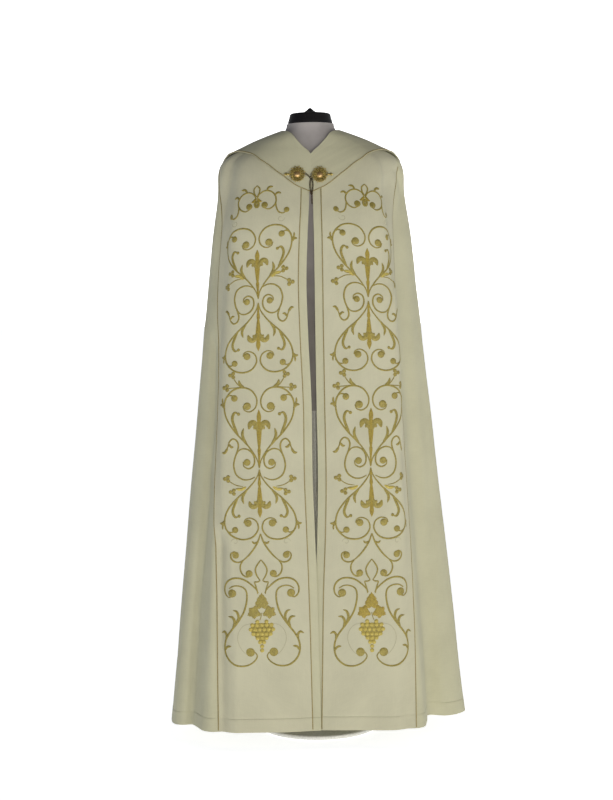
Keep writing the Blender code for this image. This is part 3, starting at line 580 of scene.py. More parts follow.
LEFT_FOLDS = [
    ("edge", 0.013, -0.0062, ((1.405, 0.207), (1.37, 0.214), (1.323, 0.232), (1.25, 0.25), (1.18, 0.258))),
    ("edge", 0.012, 0.003, ((1.41, 0.232), (1.37, 0.24), (1.32, 0.26), (1.24, 0.28))),
    ("edge", 0.009, 0.003, ((0.5, 0.204), (0.38, 0.202), (0.06, 0.201))),
    ("edge", 0.015, -0.013, ((0.48, 0.235), (0.36, 0.238), (0.06, 0.24))),
    ("edge", 0.01, -0.004, ((0.98, 0.242), (0.72, 0.24), (0.54, 0.236))),
    ("edge", 0.01, -0.01, ((0.95, 0.268), (0.757, 0.278), (0.6, 0.293), (0.353, 0.326), (0.06, 0.354))),
    ("edge", 0.018, 0.004, ((1.0, 0.306), (0.5, 0.345), (0.06, 0.398))),
    ("edge", 0.018, -0.0024, ((0.8, 0.405), (0.3, 0.44), (0.05, 0.455))),
    ("round", 0.008, -0.0026, ((0.9, 0.345), (0.4, 0.35), (0.05, 0.352))),
    ("round", 0.007, 0.0022, ((0.75, 0.405), (0.05, 0.412))),
    ("round", 0.007, -0.0024, ((1.1, 0.462), (0.6, 0.466), (0.05, 0.474))),
    ("round", 0.006, 0.0022, ((0.7, 0.53), (0.05, 0.538))),
    ("round", 0.006, -0.002, ((0.65, 0.6), (0.05, 0.606))),
]

# Columns of a half by their distance from the front edge, with those of the band, and its rows.
BAND_SIDES = (EDGE_STRIP + PIPING_WIDTH / 2.0, EDGE_STRIP + BAND_WIDTH - PIPING_WIDTH / 2.0)
FRONTS = np.concatenate([
    [0.0, 0.0045, 0.009, 0.0135, EDGE_STRIP - PIPING_WIDTH / 2.0],
    np.linspace(*BAND_SIDES, FRONT_STEPS + 1), [EDGE_STRIP + BAND_WIDTH + PIPING_WIDTH / 2.0],
])
BAND = slice(5, 6 + FRONT_STEPS)
SHOULDER_PARTS = np.arange(SHOULDER_ROWS) / SHOULDER_ROWS
HEM_PARTS = [0.97, 0.9722, 0.9738, 0.9754, 0.978, 0.999]
BODY_PARTS = np.sort(np.concatenate([np.linspace(0.0, 1.0, BODY_ROWS + 1), HEM_PARTS]))
BAND_ROW = int(SHOULDER_ROWS * 2 / 9)


def cope_grid(half):
    """The half's grid, from the neckline to the hem: points and normals."""
    chest_places = half.place_of(CHEST_RING)
    neck = half.neck_level(chest_places)
    table = np.array([half.place_of(level) for level in half.levels])
    shoulder = neck + (CHEST_RING - neck) * SHOULDER_PARTS[:, None]
    level = np.concatenate([shoulder, CHEST_RING + BODY_PARTS[:, None] + 0.0 * neck])
    place = between(table, *np.broadcast_arrays(half.row_of(level), np.arange(len(neck))))
    grid, normals = half.surface(level, place)
    above = grid[..., 2] - grid[-1, :, 2]
    seam = np.exp(-(((above - HEM_FOLD) / 0.0012) ** 2))
    grid = grid + normals * (0.0005 * (above < HEM_FOLD) - 0.0006 * seam)[..., None]
    grid[:, -1, 0] = half.side * BACK_SEAM / 2.0
    return grid, normals


class Front:
    """The front of one half as a table over (distance from the front edge, height)."""

    def __init__(self, half):
        first = int(np.searchsorted(half.levels, FRONT_LEVEL))
        self.spread = np.arange(-0.002, 0.275, 0.002)
        places = np.array([np.interp(self.spread, walk, half.places) for walk in half.walks[first:]])
        level = half.levels[first:, None] + 0.0 * self.spread
        self.heights = half.point(level, places)[:, 0, 2]
        self.grid, self.normals = half.surface(level, places)

    def at(self, spread, height, lift):
        """Points lift above the surface, and normals; the three arrays share one shape."""
        row = np.interp(-height, -self.heights, np.arange(len(self.heights)))
        column = (spread - self.spread[0]) / (self.spread[1] - self.spread[0])
        normal = unit(between(self.normals, row, column))
        return between(self.grid, row, column) + normal * np.asarray(lift)[..., None], normal


def piping(name, front, spread):
    """A twisted cord down the front, between the band and the plain strip beside it."""
    heights = np.arange(*PIPING_RUN)
    along = np.ones(len(heights))
    return cord(name, *front.at(along * spread, heights, along * (GAP + PIPING_SEAT)))


def hood_surface(right, left):
    """The hood's grid over the cope, from the left end round the back to the right end."""
    halves = []
    around = np.arange(HOOD_COLUMNS + 1) / HOOD_COLUMNS
    down = np.linspace(0.0, 1.0, HOOD_ROWS + 1)[:, None]
    height = smooth_value(*HOOD_EDGES.T, around)
    rings = np.interp(height, RINGS[::-1, 0], np.arange(CHEST_RING, -1, -1, dtype=float))
    for half in (left, right):
        place = np.interp(around, half.around, half.places)
        neck = half.neck_level(place)
        hem = np.interp(place, half.places, half.hem_height)
        body = CHEST_RING + (CHEST_HEIGHT - height) / (CHEST_HEIGHT - hem)
        level = neck + (np.where(height >= CHEST_HEIGHT, rings, body) - neck) * down
        grid = half.point(level, np.broadcast_to(place, level.shape))
        grid[:, 0, 0] = 0.0
        halves.append(grid)
    # The two fronts meet edge to edge, half-way between the two halves of the cope.
    step = (halves[1][:, :1, 1] - halves[0][:, :1, 1]) / 2.0
    ease = np.clip(1.0 - np.arange(HOOD_COLUMNS + 1) / HOOD_MEETING, 0.0, 1.0) ** 2
    halves[0][..., 1] += step * ease
    halves[1][..., 1] -= step * ease
    grid = np.concatenate([halves[0][:, :-1], halves[1][:, ::-1]], axis=1)
    normals = grid_normals(grid, -1.0)
    normals[:, [0, -1]] = unit(normals[:, [0, -1]] * (0.0, 1.0, 1.0))
    back = 1.0 - np.abs(np.linspace(-1.0, 1.0, grid.shape[1]))
    lifts = HOOD_LIFT + HOOD_BACK_LIFT * down * back**3
    lifts[0] = HOOD_NECK_LIFT
    return grid, normals, lifts[..., None]


def form(grids):
    """The padded torso: the shoulders fill the cope, and the neck rises out of it."""
    last = int(SHOULDER_ROWS * 5 / 9)
    seats = [(grid - normals * (WALL + GAP))[: last + 1] for grid, normals in grids]
    seat = np.concatenate([seats[0][:, :-1], seats[1][:, ::-1]], axis=1)
    x, y = unit(seat[-1, :, :2] / SHOULDER_SHAPE).T
    top = stacked(x * NECK_WIDTH / 2.0, y * NECK_DEPTH / 2.0, NECK_TOP)
    rows = []
    for part in np.linspace(1.0, 0.0, NECK_ROWS)[:-1]:
        row = top + (seat[0] - top) * (1.0 - part) ** 2
        row[:, 2] = top[:, 2] + (seat[0, :, 2] - top[:, 2]) * (1.0 - part)
        rows.append(row)
    rows.extend(seat[::2])
    knots = [seat[-1]]
    for height, half_width, ahead, behind in FORM_RINGS:
        depth = np.where(y < 0.0, ahead, behind)
        knots.append(stacked(x * half_width, y * depth, height))
    knots = np.array(knots).reshape(len(knots), -1)
    for step in np.linspace(0.0, len(knots) - 1.0, TORSO_ROWS)[1:]:
        rows.append(smooth_value(np.arange(len(knots), dtype=float), knots, step).reshape(-1, 3))
    return add_mesh("form_body", rows, capped(len(rows), len(x), True), JERSEY, sharp=60.0)


# Embroidery. Ornament is drawn in millimetres on one side of the band's middle line, as
# (distance from that line, height above the motif's own node), and is then mirrored.
# Middle line of each band's ornament: height, distance from the front edge.
AXES = {
    "right": np.array([(0.23, 0.139), (0.44, 0.134), (0.67, 0.128), (0.81, 0.132), (1.08, 0.13),
                       (1.24, 0.129), (1.32, 0.127)]),
    "left": np.array([(0.23, 0.137), (0.44, 0.133), (0.67, 0.1285), (0.81, 0.1285), (0.95, 0.123),
                      (1.08, 0.118), (1.24, 0.1225), (1.32, 0.1285)]),
}
# The cloth is drawn down towards the arm at the top, so the ornament leans there: height, drop for
# each metre out.
LEAN = np.array([(0.8, 0.0), (0.95, 0.03), (1.08, 0.065), (1.2, 0.105), (1.32, 0.11)])
# Shift upwards of each band's lower motifs: height, shift.
RISES = {
    "right": np.array([(0.19, 0.004), (0.37, 0.002), (0.47, 0.001), (0.56, 0.0)]),
    "left": np.array([(0.19, 0.009), (0.37, 0.005), (0.47, 0.0045), (0.56, 0.003), (0.66, 0.0)]),
}

# Parts of one side of each motif: kind, width and points.
HEART = (  # its stem and volute, a small bud and leaves
    ("line", 3.4, (0, 0), (6, 20), (26, 47), (56, 75), (77, 103), (84, 130), (78, 151), (61, 167),
     (38, 172), (17, 165), (5, 147), (8, 129), (21, 120), (34, 123), (38, 132)),
    ("bud", 7.8, (28, 132)), ("line", 3.0, (84, 134), (81, 147), (72, 155), (62, 154)),
    ("bud", 6.8, (59, 149)), ("leaf", 5.0, (82, 126), (90, 134), (97, 133)),
    ("leaf", 3.8, (84, 130), (89, 140), (89, 149)),
    ("leaf", 5.2, (50, 70), (60, 90), (64, 106), (58, 118), (48, 115)), ("bud", 3.4, (49, 115)),
    ("leaf", 5.4, (27, 47), (36, 60), (40, 72), (37, 85)),
)
SPRIG = (  # the pair of flowers that springs from a heart's stem
    ("line", 2.2, (42, 56), (52, 57), (61, 63)), ("line", 2.0, (38, 52), (54, 50), (66, 44), (76, 38)),
    ("flower", 8.4, (66, 67)), ("flower", 8.8, (80, 34)), ("pale leaf", 6.0, (34, 50), (44, 58), (58, 61)),
)
LOW_SPRIG = (  # the same beside the lowest heart, where it stands closer to the ring
    ("line", 2.2, (42, 47), (54, 48), (62, 52)), ("line", 2.0, (40, 43), (56, 40), (68, 34), (77, 27)),
    ("flower", 8.4, (66, 57)), ("flower", 8.8, (80, 24)), ("pale leaf", 6.0, (32, 44), (44, 50), (56, 50)),
)
HIGH_SPRIG = (  # the pair that stands on the two hearts between which it grows
    ("line", 2.2, (36, 3), (48, 8), (58, 20), (63, 30)), ("line", 2.0, (44, 5), (60, 3), (72, 2), (80, 0)),
    ("flower", 8.4, (66, 34)), ("flower", 8.8, (82, 3)), ("leaf", 5.5, (34, 2), (46, 12), (49, 22)),
)
FLEUR = (  # the hooked petal of the spear, which itself lies on the middle line
    ("leaf", 9.6, (2, 74), (7, 87), (14, 93), (21, 90), (25, 79)), ("leaf", 6.0, (3, 80), (9, 84), (13, 79)),
)
RING = (  # the ring between two hearts, with the hook that hangs from it
    ("line", 3.4, (10, 32), (24, 38), (39, 37), (53, 27), (59, 9), (57, -8), (51, -24), (48, -38),
     (52, -49), (61, -53), (69, -46), (73, -34), (80, -23)),
    ("line", 3.2, (52, -20), (44, -29), (31, -31), (18, -24), (11, -10), (13, 6), (24, 13), (35, 8),
     (37, -2)),
    ("bud", 7.0, (28, -1)), ("leaf", 4.4, (70, -42), (65, -35), (59, -35)),
    ("leaf", 5.0, (73, -32), (80, -22), (87, -22)),
)
TAILS = (  # the two tails below the lower heart
    ("line", 3.4, (0, 0), (7, -20), (17, -37), (28, -51), (41, -63)),
    ("line", 3.2, (41, -63), (53, -69), (65, -67), (72, -59), (72, -49), (64, -44), (58, -48)),
    ("bud", 7.4, (61, -52)),
    ("line", 3.2, (41, -63), (49, -74), (50, -87), (44, -99), (33, -104), (25, -99)),
    ("bud", 7.6, (29, -96)), ("leaf", 4.0, (8, -19), (15, -23), (21, -18)), ("coil", 1.6, (62, -20), 330),
)
BUD_FRAME = (  # the pointed bud with its stepped shoulders
    ("line", 3.0, (0, 0), (9, -12), (14, -24), (11, -37), (3, -50)),
    ("line", 2.8, (3, -50), (9, -53), (17, -53)), ("line", 2.8, (17, -53), (14, -62), (11, -72), (9, -82)),
)
LYRE = (  # its arm and long side with leaves, and the volutes that end them
    ("line", 3.5, (8, -2), (13, 7), (23, 17), (38, 28), (54, 33), (70, 32), (83, 24), (90, 10), (88, -5),
     (79, -13), (70, -10)),
    ("bud", 8.8, (71, -3)),
    ("line", 3.7, (78, 8), (68, 14), (56, 15), (44, 11), (37, 3), (35, -10), (37, -28), (43, -48),
     (53, -66), (66, -84), (79, -101), (88, -118), (91, -136), (88, -153), (79, -167), (65, -177),
     (49, -180), (33, -177), (19, -168), (12, -156), (17, -146)),
    ("bud", 9.4, (28, -146)), ("leaf", 5.2, (70, -90), (65, -74), (70, -62), (81, -60)),
    ("leaf", 5.2, (62, -78), (56, -62), (60, -48), (69, -44)),
    ("leaf", 5.0, (88, -120), (86, -106), (92, -98), (101, -102)),
    ("leaf", 4.4, (91, -144), (84, -134), (74, -132)),
    ("faint", 1.6, (26, -76), (44, -82), (56, -98), (58, -118), (50, -138), (36, -152), (24, -152)),
)
CROWN = (  # the small scroll at the top of the band, with half of its ribbon loop
    ("line", 3.2, (2, 6), (8, 16), (21, 22), (36, 18), (46, 6), (47, -8), (40, -19), (28, -24), (16, -19)),
    ("bud", 7.0, (19, -13)), ("line", 3.0, (47, -6), (47, -20), (52, -33), (62, -38), (71, -35)),
    ("bud", 6.0, (72, -31)), ("line", 3.0, (0, 8), (6, 18), (7, 29), (0, 37)),
    ("leaf", 4.6, (24, 21), (30, 30), (40, 30)), ("leaf", 4.4, (44, 7), (51, 14), (60, 11)),
    ("amber leaf", 5.0, (1, 6), (8, -2), (13, -3)), ("leaf", 5.6, (0, 0), (4, -9), (1, -19)),
    ("coil", 1.6, (57, -50), -330),
)
# The motifs on a band: parts, height of the node, scale across and up; negative is upside down.
MOTIFS = (
    (CROWN, 1.3192, 1.0, 1.0), (HEART, 1.0794, 1.0, 1.02), (SPRIG, 1.0794, 1.0, 1.0),
    (FLEUR, 1.0794, 1.0, 1.0), (RING, 1.0745, 1.0, 1.0), (HEART, 1.0697, 1.0, -0.98),
    (FLEUR, 1.0697, 1.0, -0.98), (HIGH_SPRIG, 0.861, 1.0, 1.0), (HEART, 0.6703, 1.02, 1.13),
    (FLEUR, 0.6703, 1.0, 1.18), (RING, 0.683, 1.06, -1.08), (HEART, 0.667, 1.04, -1.0),
    (LOW_SPRIG, 0.667, 1.0, -0.98), (FLEUR, 0.667, 1.0, -0.99), (TAILS, 0.509, 1.0, 1.0),
    (BUD_FRAME, 0.4462, 1.0, 1.0), (LYRE, 0.3685, 1.0, 1.0),
)
SPEARS = ((1.0794, 1.0), (1.0697, -0.98), (0.6703, 1.18), (0.667, -0.99))
# A spear: height above its node, width.
SPEAR = np.array([
    (0, 3.6), (12, 4.2), (26, 6.2), (33, 8.6), (38, 8.8), (41, 5.6), (50, 8.6), (61, 11.0), (72, 13.2),
    (82, 13.6), (88, 11.8), (96, 9.4), (100, 11.0), (105, 12.0), (111, 9.0), (120, 0.8),
])
GRAPE_NODE = 0.3685
# Rows of grapes: distance below the node, number, pitch.
GRAPES = ((-72, 2, 22.0), (-80, 5, 11.6), (-91, 6, 10.8), (-102, 5, 10.4), (-112, 3, 10.6), (-122, 2, 9.4),
          (-132, 1, 0.0), (-142, 1, 0.0))
GRAPE_RADIUS = 0.0051
# Outlines by their turn in degrees: the ground of the cluster, and the upper and the side vine leaves.
CLUSTER = np.interp(np.arange(40) * 9.0, [0, 20, 70, 90, 110, 160, 180, 215, 250, 270, 290, 325, 360],
                    [30, 27, 17, 12, 17, 27, 30, 26, 27, 36, 27, 26, 30])
SPADE = np.array([(0, 1.15), (14, 0.92), (28, 0.78), (45, 0.74), (60, 0.62), (80, 0.7), (98, 0.74),
                  (112, 0.6), (135, 0.74), (152, 0.7), (180, 0.42)])
VINE = np.array([(0, 0.95), (16, 0.8), (30, 0.66), (48, 0.78), (66, 0.86), (84, 0.62), (104, 0.66),
                 (122, 0.86), (140, 0.78), (158, 0.56), (180, 0.5)])
VINE_LEAVES = ((0.0, 0.0275, 0.0225, 90.0, SPADE), (-0.0172, 0.0485, 0.02, 205.0, VINE),
               (0.0172, 0.0485, 0.02, -25.0, VINE))
THREADS = {"gold": THREAD, "amber": AMBER, "pale": PALE, "faint": FAINT}
KIND_THREADS = {"amber leaf": "amber", "pale leaf": "pale", "faint": "faint", "coil": "faint"}
FLOWER_LOBES = ((0.5, 0.0), (-0.32, 0.44), (-0.32, -0.44))
LINE_BOLD, LEAF_BOLD, BUD_BOLD, FLOWER_BOLD = 1.32, 1.3, 1.16, 1.2
STITCH = 2.2  # millimetres between the points of a line
# Height of the stitches above the band, into which they are sunk a little, in metres.
SUNK = 0.0001
STROKE_LIFT, BUD_LIFT, LOBE_LIFT = 0.0011, 0.0013, 0.001
LEAF_LIFT, GROUND_LIFT, GRAPE_LIFT = 0.0012, 0.0006, 0.0021


def smooth_line(points, step=STITCH):
    """A smooth line through a few points, with a point about every step millimetres."""
    points = np.array(points, dtype=float)
    ends = np.vstack([2.0 * points[0] - points[1], points, 2.0 * points[-1] - points[-2]])
    line = []
    for a, b, c, d in zip(ends[:-3], ends[1:-2], ends[2:-1], ends[3:]):
        count = max(2, int(round(np.linalg.norm(c - b) / step)))
        t = (np.arange(count) / count)[:, None]
        bend = (2.0 * a - 5.0 * b + 4.0 * c - d) * t**2 + (3.0 * b - a - 3.0 * c + d) * t**3
        line.append(0.5 * (2.0 * b + (c - a) * t + bend))
    return np.vstack([*line, points[-1:]])


def coil(centre, turn, outer=10.0, inner=3.0):
    """A spiral about centre that turns by turn degrees and shrinks from outer to inner."""
    turn = math.radians(turn)
    part = np.linspace(0.0, 1.0, max(8, int(abs(turn) * (outer + inner) / 2.0 / STITCH)))
    reach = (outer * (inner / outer) ** part)[:, None]
    return np.array(centre) + reach * np.column_stack([np.cos(turn * part), np.sin(turn * part)])


def taper(line, width, start=0.35, end=0.25):
    """Widths of a stroke that swells from both of its ends."""
    part = np.linspace(0.0, 1.0, len(line))
    swell = np.minimum(part / 0.3, (1.0 - part) / 0.3).clip(0.0, 1.0)
    low = start * (1.0 - part) + end * part
    return width * (low + (1.0 - low) * np.sin(swell * np.pi / 2.0))


class Embroidery:
    """Collects raised stitches over one band and makes them one mesh."""

    def __init__(self, front, axis, rise):
        self.front, self.axis, self.rise = front, axis, rise
        self.points, self.faces, self.slots, self.uvs = [], [], [], []
        self.count = 0

    def add(self, flat, lift, faces, uv, thread):
        """Adds a grid; flat is (distance from the middle line, height) in metres for each point."""
        flat, uv = flat.reshape(-1, 2), uv.reshape(-1, 2)
        spread = np.interp(flat[:, 1], *self.axis.T) + flat[:, 0]
        height = flat[:, 1] + np.interp(flat[:, 1], *self.rise.T)
        height = height - flat[:, 0] * np.interp(flat[:, 1], *LEAN.T)
        points, _ = self.front.at(spread, height, GAP + BAND_WALL - SUNK + lift.ravel())
        self.points.append(points)
        self.faces.append(faces + self.count)
        self.uvs.append(uv[faces])
        self.slots += [list(THREADS).index(thread)] * len(faces)
        self.count += len(points)

    def stroke(self, line, width, thread, height=0.45):
        """A raised line; line and width are in metres."""
        along = unit(np.gradient(line, axis=0))
        across = np.column_stack([-along[:, 1], along[:, 0]])
        ranks = np.array([-1.0, -0.55, 0.0, 0.55, 1.0])
        flat = line[:, None] + across[:, None] * (ranks[:, None] * width[:, None, None] / 2.0)
        lift = np.minimum(width * height, STROKE_LIFT)[:, None] * np.array([0.0, 0.75, 1.0, 0.75, 0.0])
        uv = np.stack(np.broadcast_arrays(walked(line)[:, None], ranks * 0.5), axis=-1)
        self.add(flat, lift, quads(len(line), len(ranks), inward=True), uv, thread)

    def patch(self, centre, reach, height, thread):
        """A raised patch; reach gives its radius for each of its directions."""
        turn = circle(len(reach))
        rings = np.array([1.0, 0.82, 0.5, 0.02])[:, None, None]
        flat = centre + rings * np.column_stack([np.cos(turn) * reach, np.sin(turn) * reach])
        lift = np.repeat(np.array([0.0, 0.75, 1.0, 1.05]) * height, len(reach))
        self.add(flat, lift, quads(len(rings), len(reach), True), flat * (1.0, 300.0), thread)

    def motif(self, parts, base, wide, tall):
        """Both sides of a motif whose node is at height base; tall is negative upside down."""
        size = (abs(wide) + abs(tall)) / 2.0
        for kind, width, *shape in parts:
            thread = KIND_THREADS.get(kind, "gold")
            if kind == "coil":
                shape = coil(*shape)
            else:
                shape = smooth_line(shape) if len(shape) > 1 else np.array(shape[0])
            for mirror in (1.0, -1.0):
                spot = shape * (wide * mirror, tall) / 1000.0 + (0.0, base)
                if kind == "line":
                    self.stroke(spot, taper(spot, width * LINE_BOLD / 1000.0, 0.62, 0.62), thread)
                elif thread == "faint":
                    self.stroke(spot, taper(spot, width / 1000.0, 0.62, 0.62), thread)
                elif kind == "bud":
                    self.patch(spot, np.full(14, width * size * BUD_BOLD / 1000.0), BUD_LIFT, thread)
                elif kind == "flower":
                    reach = width * size * FLOWER_BOLD / 1000.0
                    for side, up in FLOWER_LOBES:
                        lobe = spot + np.array((side * mirror, up)) * reach
                        self.patch(lobe, np.full(10, reach * 0.5), LOBE_LIFT, thread)
                else:
                    self.stroke(spot, taper(spot, width * size * LEAF_BOLD / 1000.0), thread, 0.3)

    def spear(self, base, tall):
        heights = np.arange(0.0, 120.1, 2.4)
        line = np.column_stack([np.zeros(len(heights)), base + heights * tall / 1000.0])
        self.stroke(line, np.interp(heights, *SPEAR.T) / 1000.0, "amber", 0.2)

    def vine_leaf(self, centre, size, aim, outline, thread):
        """A lobed leaf that points towards aim, in degrees; outline gives its reach by direction."""
        turn = np.abs(np.angle(np.exp(1j * (circle(72) - math.radians(aim)))))
        notch = 1.0 + 0.05 * np.cos(turn * 23.0)
        reach = np.interp(np.degrees(turn), *outline.T) * notch * size
        self.patch(np.array(centre), reach, LEAF_LIFT, thread)

    def grapes(self, base, thread):
        """The bunch of grapes under its three leaves."""
        for side, down, size, aim, outline in VINE_LEAVES:
            self.vine_leaf((side, base - down), size, aim, outline, thread)
        stem = smooth_line([(0, -50), (2, -60), (5, -68)]) / 1000.0 + (0.0, base)
        self.stroke(stem, np.full(len(stem), 0.0022), "gold")
        self.patch(np.array((0.0, base - 0.09)), CLUSTER / 1000.0, GROUND_LIFT, "gold")
        for down, count, pitch in GRAPES:
            for index in range(count):
                side = (index - (count - 1) / 2.0) * pitch
                spot = np.array((side / 1000.0, base + down / 1000.0))
                self.patch(spot, np.full(12, GRAPE_RADIUS), GRAPE_LIFT, "pale")

    def finish(self, name, flip):
        step = -1 if flip else 1
        faces, uvs = np.concatenate(self.faces)[:, ::step], np.concatenate(self.uvs)[:, ::step]
        item = add_mesh(name, np.concatenate(self.points), faces, THREAD, {"thread": uvs})
        for thread in (AMBER, PALE, FAINT):
            item.data.materials.append(thread)
        item.data.polygons.foreach_set("material_index", self.slots)
        return item


def embroider(name, front, flip):
    """The ornament of one band."""
    work = Embroidery(front, AXES[name], RISES[name])
    for motif in MOTIFS:
        work.motif(*motif)
    for base, tall in SPEARS:
        work.spear(base, tall)
    work.grapes(GRAPE_NODE, "amber" if name == "right" else "gold")
    return ride(work.finish(f"embroidery_{name}", flip), "gold_thread")


right = Half(RIGHT_STATIONS, 1, RIGHT_FOLDS)
left = Half(LEFT_STATIONS, -1, LEFT_FOLDS)
grids, fronts = {}, {}
for half, name in ((right, "right"), (left, "left")):
    grid, normals = cope_grid(half)
    grids[name] = (grid, normals)
    fronts[name] = Front(half)
    flip = half.side < 0
    mantle = shell(f"cope_{name}", grid, normals, -WALL, WALL, CLOTH, flip)
    ride(mantle, "cloth", f"mantle_{name}")
    rows = slice(BAND_ROW, None)
    band = shell(f"band_{name}", grid[rows, BAND], normals[rows, BAND], GAP, BAND_WALL, BAND_CLOTH, flip)
    ride(band, "band_cloth", f"orphrey_{name}")
    for label, spread in (("inner", EDGE_STRIP), ("outer", EDGE_STRIP + BAND_WIDTH)):
        piece = piping(f"cord_{label}_{name}", fronts[name], spread)
        ride(piece, "gold_thread", f"piping_{label}_{name}")
    embroider(name, fronts[name], flip)

grid, normals, lifts = hood_surface(right, left)
collar = shell("collar_hood", grid, normals, lifts, WALL, CLOTH, True)
ride(collar, "cloth", "hood")
edge = grid[-1] + normals[-1] * (lifts[-1] + WALL + HOOD_CORD_RISE)
edge += unit(grid[-2] - grid[-1]) * HOOD_CORD_SET
hood_cord = ride(cord("hood_cord", edge, normals[-1]), "gold_thread", "hood_piping")
ride(form((grids["right"], grids["left"])), "jersey", "form_torso")


def front_frame(half, x, height, lift):
    """A point lift above the cope's front, and a turn whose columns are right, up and out."""
    heights = half.lines[:, 0, 2]
    row = int(np.argmin(np.abs(heights - height)))
    near = CURVE_SAMPLES // 3

    def at(row, x):
        line = half.lines[row, :near]
        index = np.interp(half.side * x, half.side * line[:, 0], np.arange(near))
        return np.array([np.interp(index, np.arange(near), line[:, k]) for k in range(3)])

    across = unit(at(row, x + 0.004) - at(row, x - 0.004))
    rise = at(row - 6, x) - at(row + 6, x)
    out = unit(np.cross(across, rise))
    middle = at(row, x)
    middle = middle + rise * (height - middle[2]) / rise[2]
    return middle + out * lift, np.column_stack([across, np.cross(out, across), out])


def round_faces(rings, segments, inward=True):
    """Faces of a round form whose points are a pole, its rings and the other pole."""
    fans, last = [], rings * segments + 1
    for step in range(segments):
        after = (step + 1) % segments
        fans += [(0, 1 + step, 1 + after), (last, last - segments + after, last - segments + step)]
    if not inward:
        fans = [fan[::-1] for fan in fans]
    return [*fans, *(quads(rings, segments, True, inward) + 1).tolist()]


def blobs(items, material, segments=12, rings=5):
    """Round forms as one mesh; items are (centre, radii, turn), with the radii along its columns."""
    spots = [(0.0, 0.0, 1.0)]
    for tilt in math.pi * np.arange(1, rings + 1) / (rings + 1):
        spots += [(math.sin(tilt) * math.cos(angle), math.sin(tilt) * math.sin(angle), math.cos(tilt))
                  for angle in circle(segments)]
    spots = np.array([*spots, (0.0, 0.0, -1.0)])
    points = [centre + (spots * radii) @ turn.T for centre, radii, turn in items]
    faces = [[corner + index * len(spots) for corner in face]
             for index in range(len(items)) for face in round_faces(rings, segments)]
    return add_mesh("blobs", points, faces, material)


def wire(path, turn, radius, material):
    """A round wire along a path in the plane of turn's first two columns."""
    return tube("wire", path, np.tile(turn[:, 2], (len(path), 1)), radius, material)


def ring_wire(centre, turn, radii, radius, count=20):
    """A closed loop of bronze wire with two radii."""
    angle = 2.0 * np.pi * np.arange(count + 1) / count
    flat = stacked(np.cos(angle) * radii[0], np.sin(angle) * radii[1], 0.0)
    return wire(centre + flat @ turn.T, turn, radius, BRONZE)


def rosette(name, half, spot, side, seat=0.0):
    """A filigree rosette: wire petals, a beaded ring, a coppery dome, and a leaf on its outer side."""
    centre, turn = front_frame(half, *spot, HOOD_LIFT + WALL + GAP * 1.5 + seat)
    wide, tall = ROSETTE_WIDTH / 2.0, ROSETTE_TALL / 2.0

    def at(x, y, z):
        return centre + turn @ np.array([x, y, z])

    def rim(angle, reach, height):
        return at(math.cos(angle) * wide * reach, math.sin(angle) * tall * reach, height)

    def spoke(angle):
        cosine, sine = math.cos(angle), math.sin(angle)
        return turn @ np.array([(cosine, -sine, 0.0), (sine, cosine, 0.0), (0.0, 0.0, 1.0)])

    plate = ((0.3, 0.0), (0.86, 0.0), (0.9, 0.0006), (0.86, 0.0011), (0.3, 0.0013))
    points, segments = [at(0, 0, 0)], 72
    for reach, rise in plate:
        for angle in circle(segments):
            scallop = 1.0 - 0.1 * (1.0 - abs(math.cos(angle * PETALS / 2.0))) * (reach > 0.5)
            points.append(rim(angle, reach * scallop, rise))
    points.append(at(0, 0, plate[-1][1]))
    faces = round_faces(len(plate), segments, False)
    items, beads = [add_mesh("plate", points, faces, DARK_GILT)], []
    loop = 2.0 * np.pi * np.arange(17) / 16
    reach = 0.7 + 0.27 * np.cos(loop)
    fan = 0.21 * np.sin(loop) * (0.75 + 0.25 * np.cos(loop))
    for angle in 2.0 * math.pi * (np.arange(PETALS) + 0.5) / PETALS:
        path = stacked(np.cos(angle + fan) * reach * wide, np.sin(angle + fan) * reach * tall,
                       0.0017 + 0.0007 * np.cos(loop))
        items.append(wire(centre + path @ turn.T, turn, 0.00075, GILT))
        beads += [(rim(angle, 0.7, 0.0018), (0.0012, 0.0012, 0.0012), turn),
                  (rim(angle + math.pi / PETALS, 0.93, 0.0012), (0.0011, 0.0011, 0.001), turn),
                  (rim(angle, 1.01, 0.0014), (0.0021, 0.0009, 0.0008), spoke(angle))]
    beads += [(rim(angle, 0.43, 0.0019), (0.0011, 0.0011, 0.0011), turn) for angle in circle(18)]
    for along, size in ((1.08, 0.0026), (1.22, 0.0019)):
        beads.append((at(side * wide * along, 0.0, 0.0015), (size, size * 1.1, size * 0.8), turn))
    for slope, reach in ((0.0, 0.0052), (0.6, 0.0038), (-0.6, 0.0038)):
        angle = slope if side > 0 else math.pi - slope
        spot = at(side * wide * 1.24 + math.cos(angle) * reach * 0.7, math.sin(angle) * reach * 0.7, 0.0013)
        beads.append((spot, (reach, 0.0022, 0.0011), spoke(angle)))
    items.append(blobs(beads, GILT))
    items.append(blobs([(at(0.0, -0.0006, 0.0014), (0.008, 0.0084, 0.0038), turn)], COPPER))
    items.append(ring_wire(at(-side * wide * 1.02, 0.0008, 0.0014), turn, (0.002, 0.002), 0.0006))
    return ride(join(name, items), "gilt_metal", name)


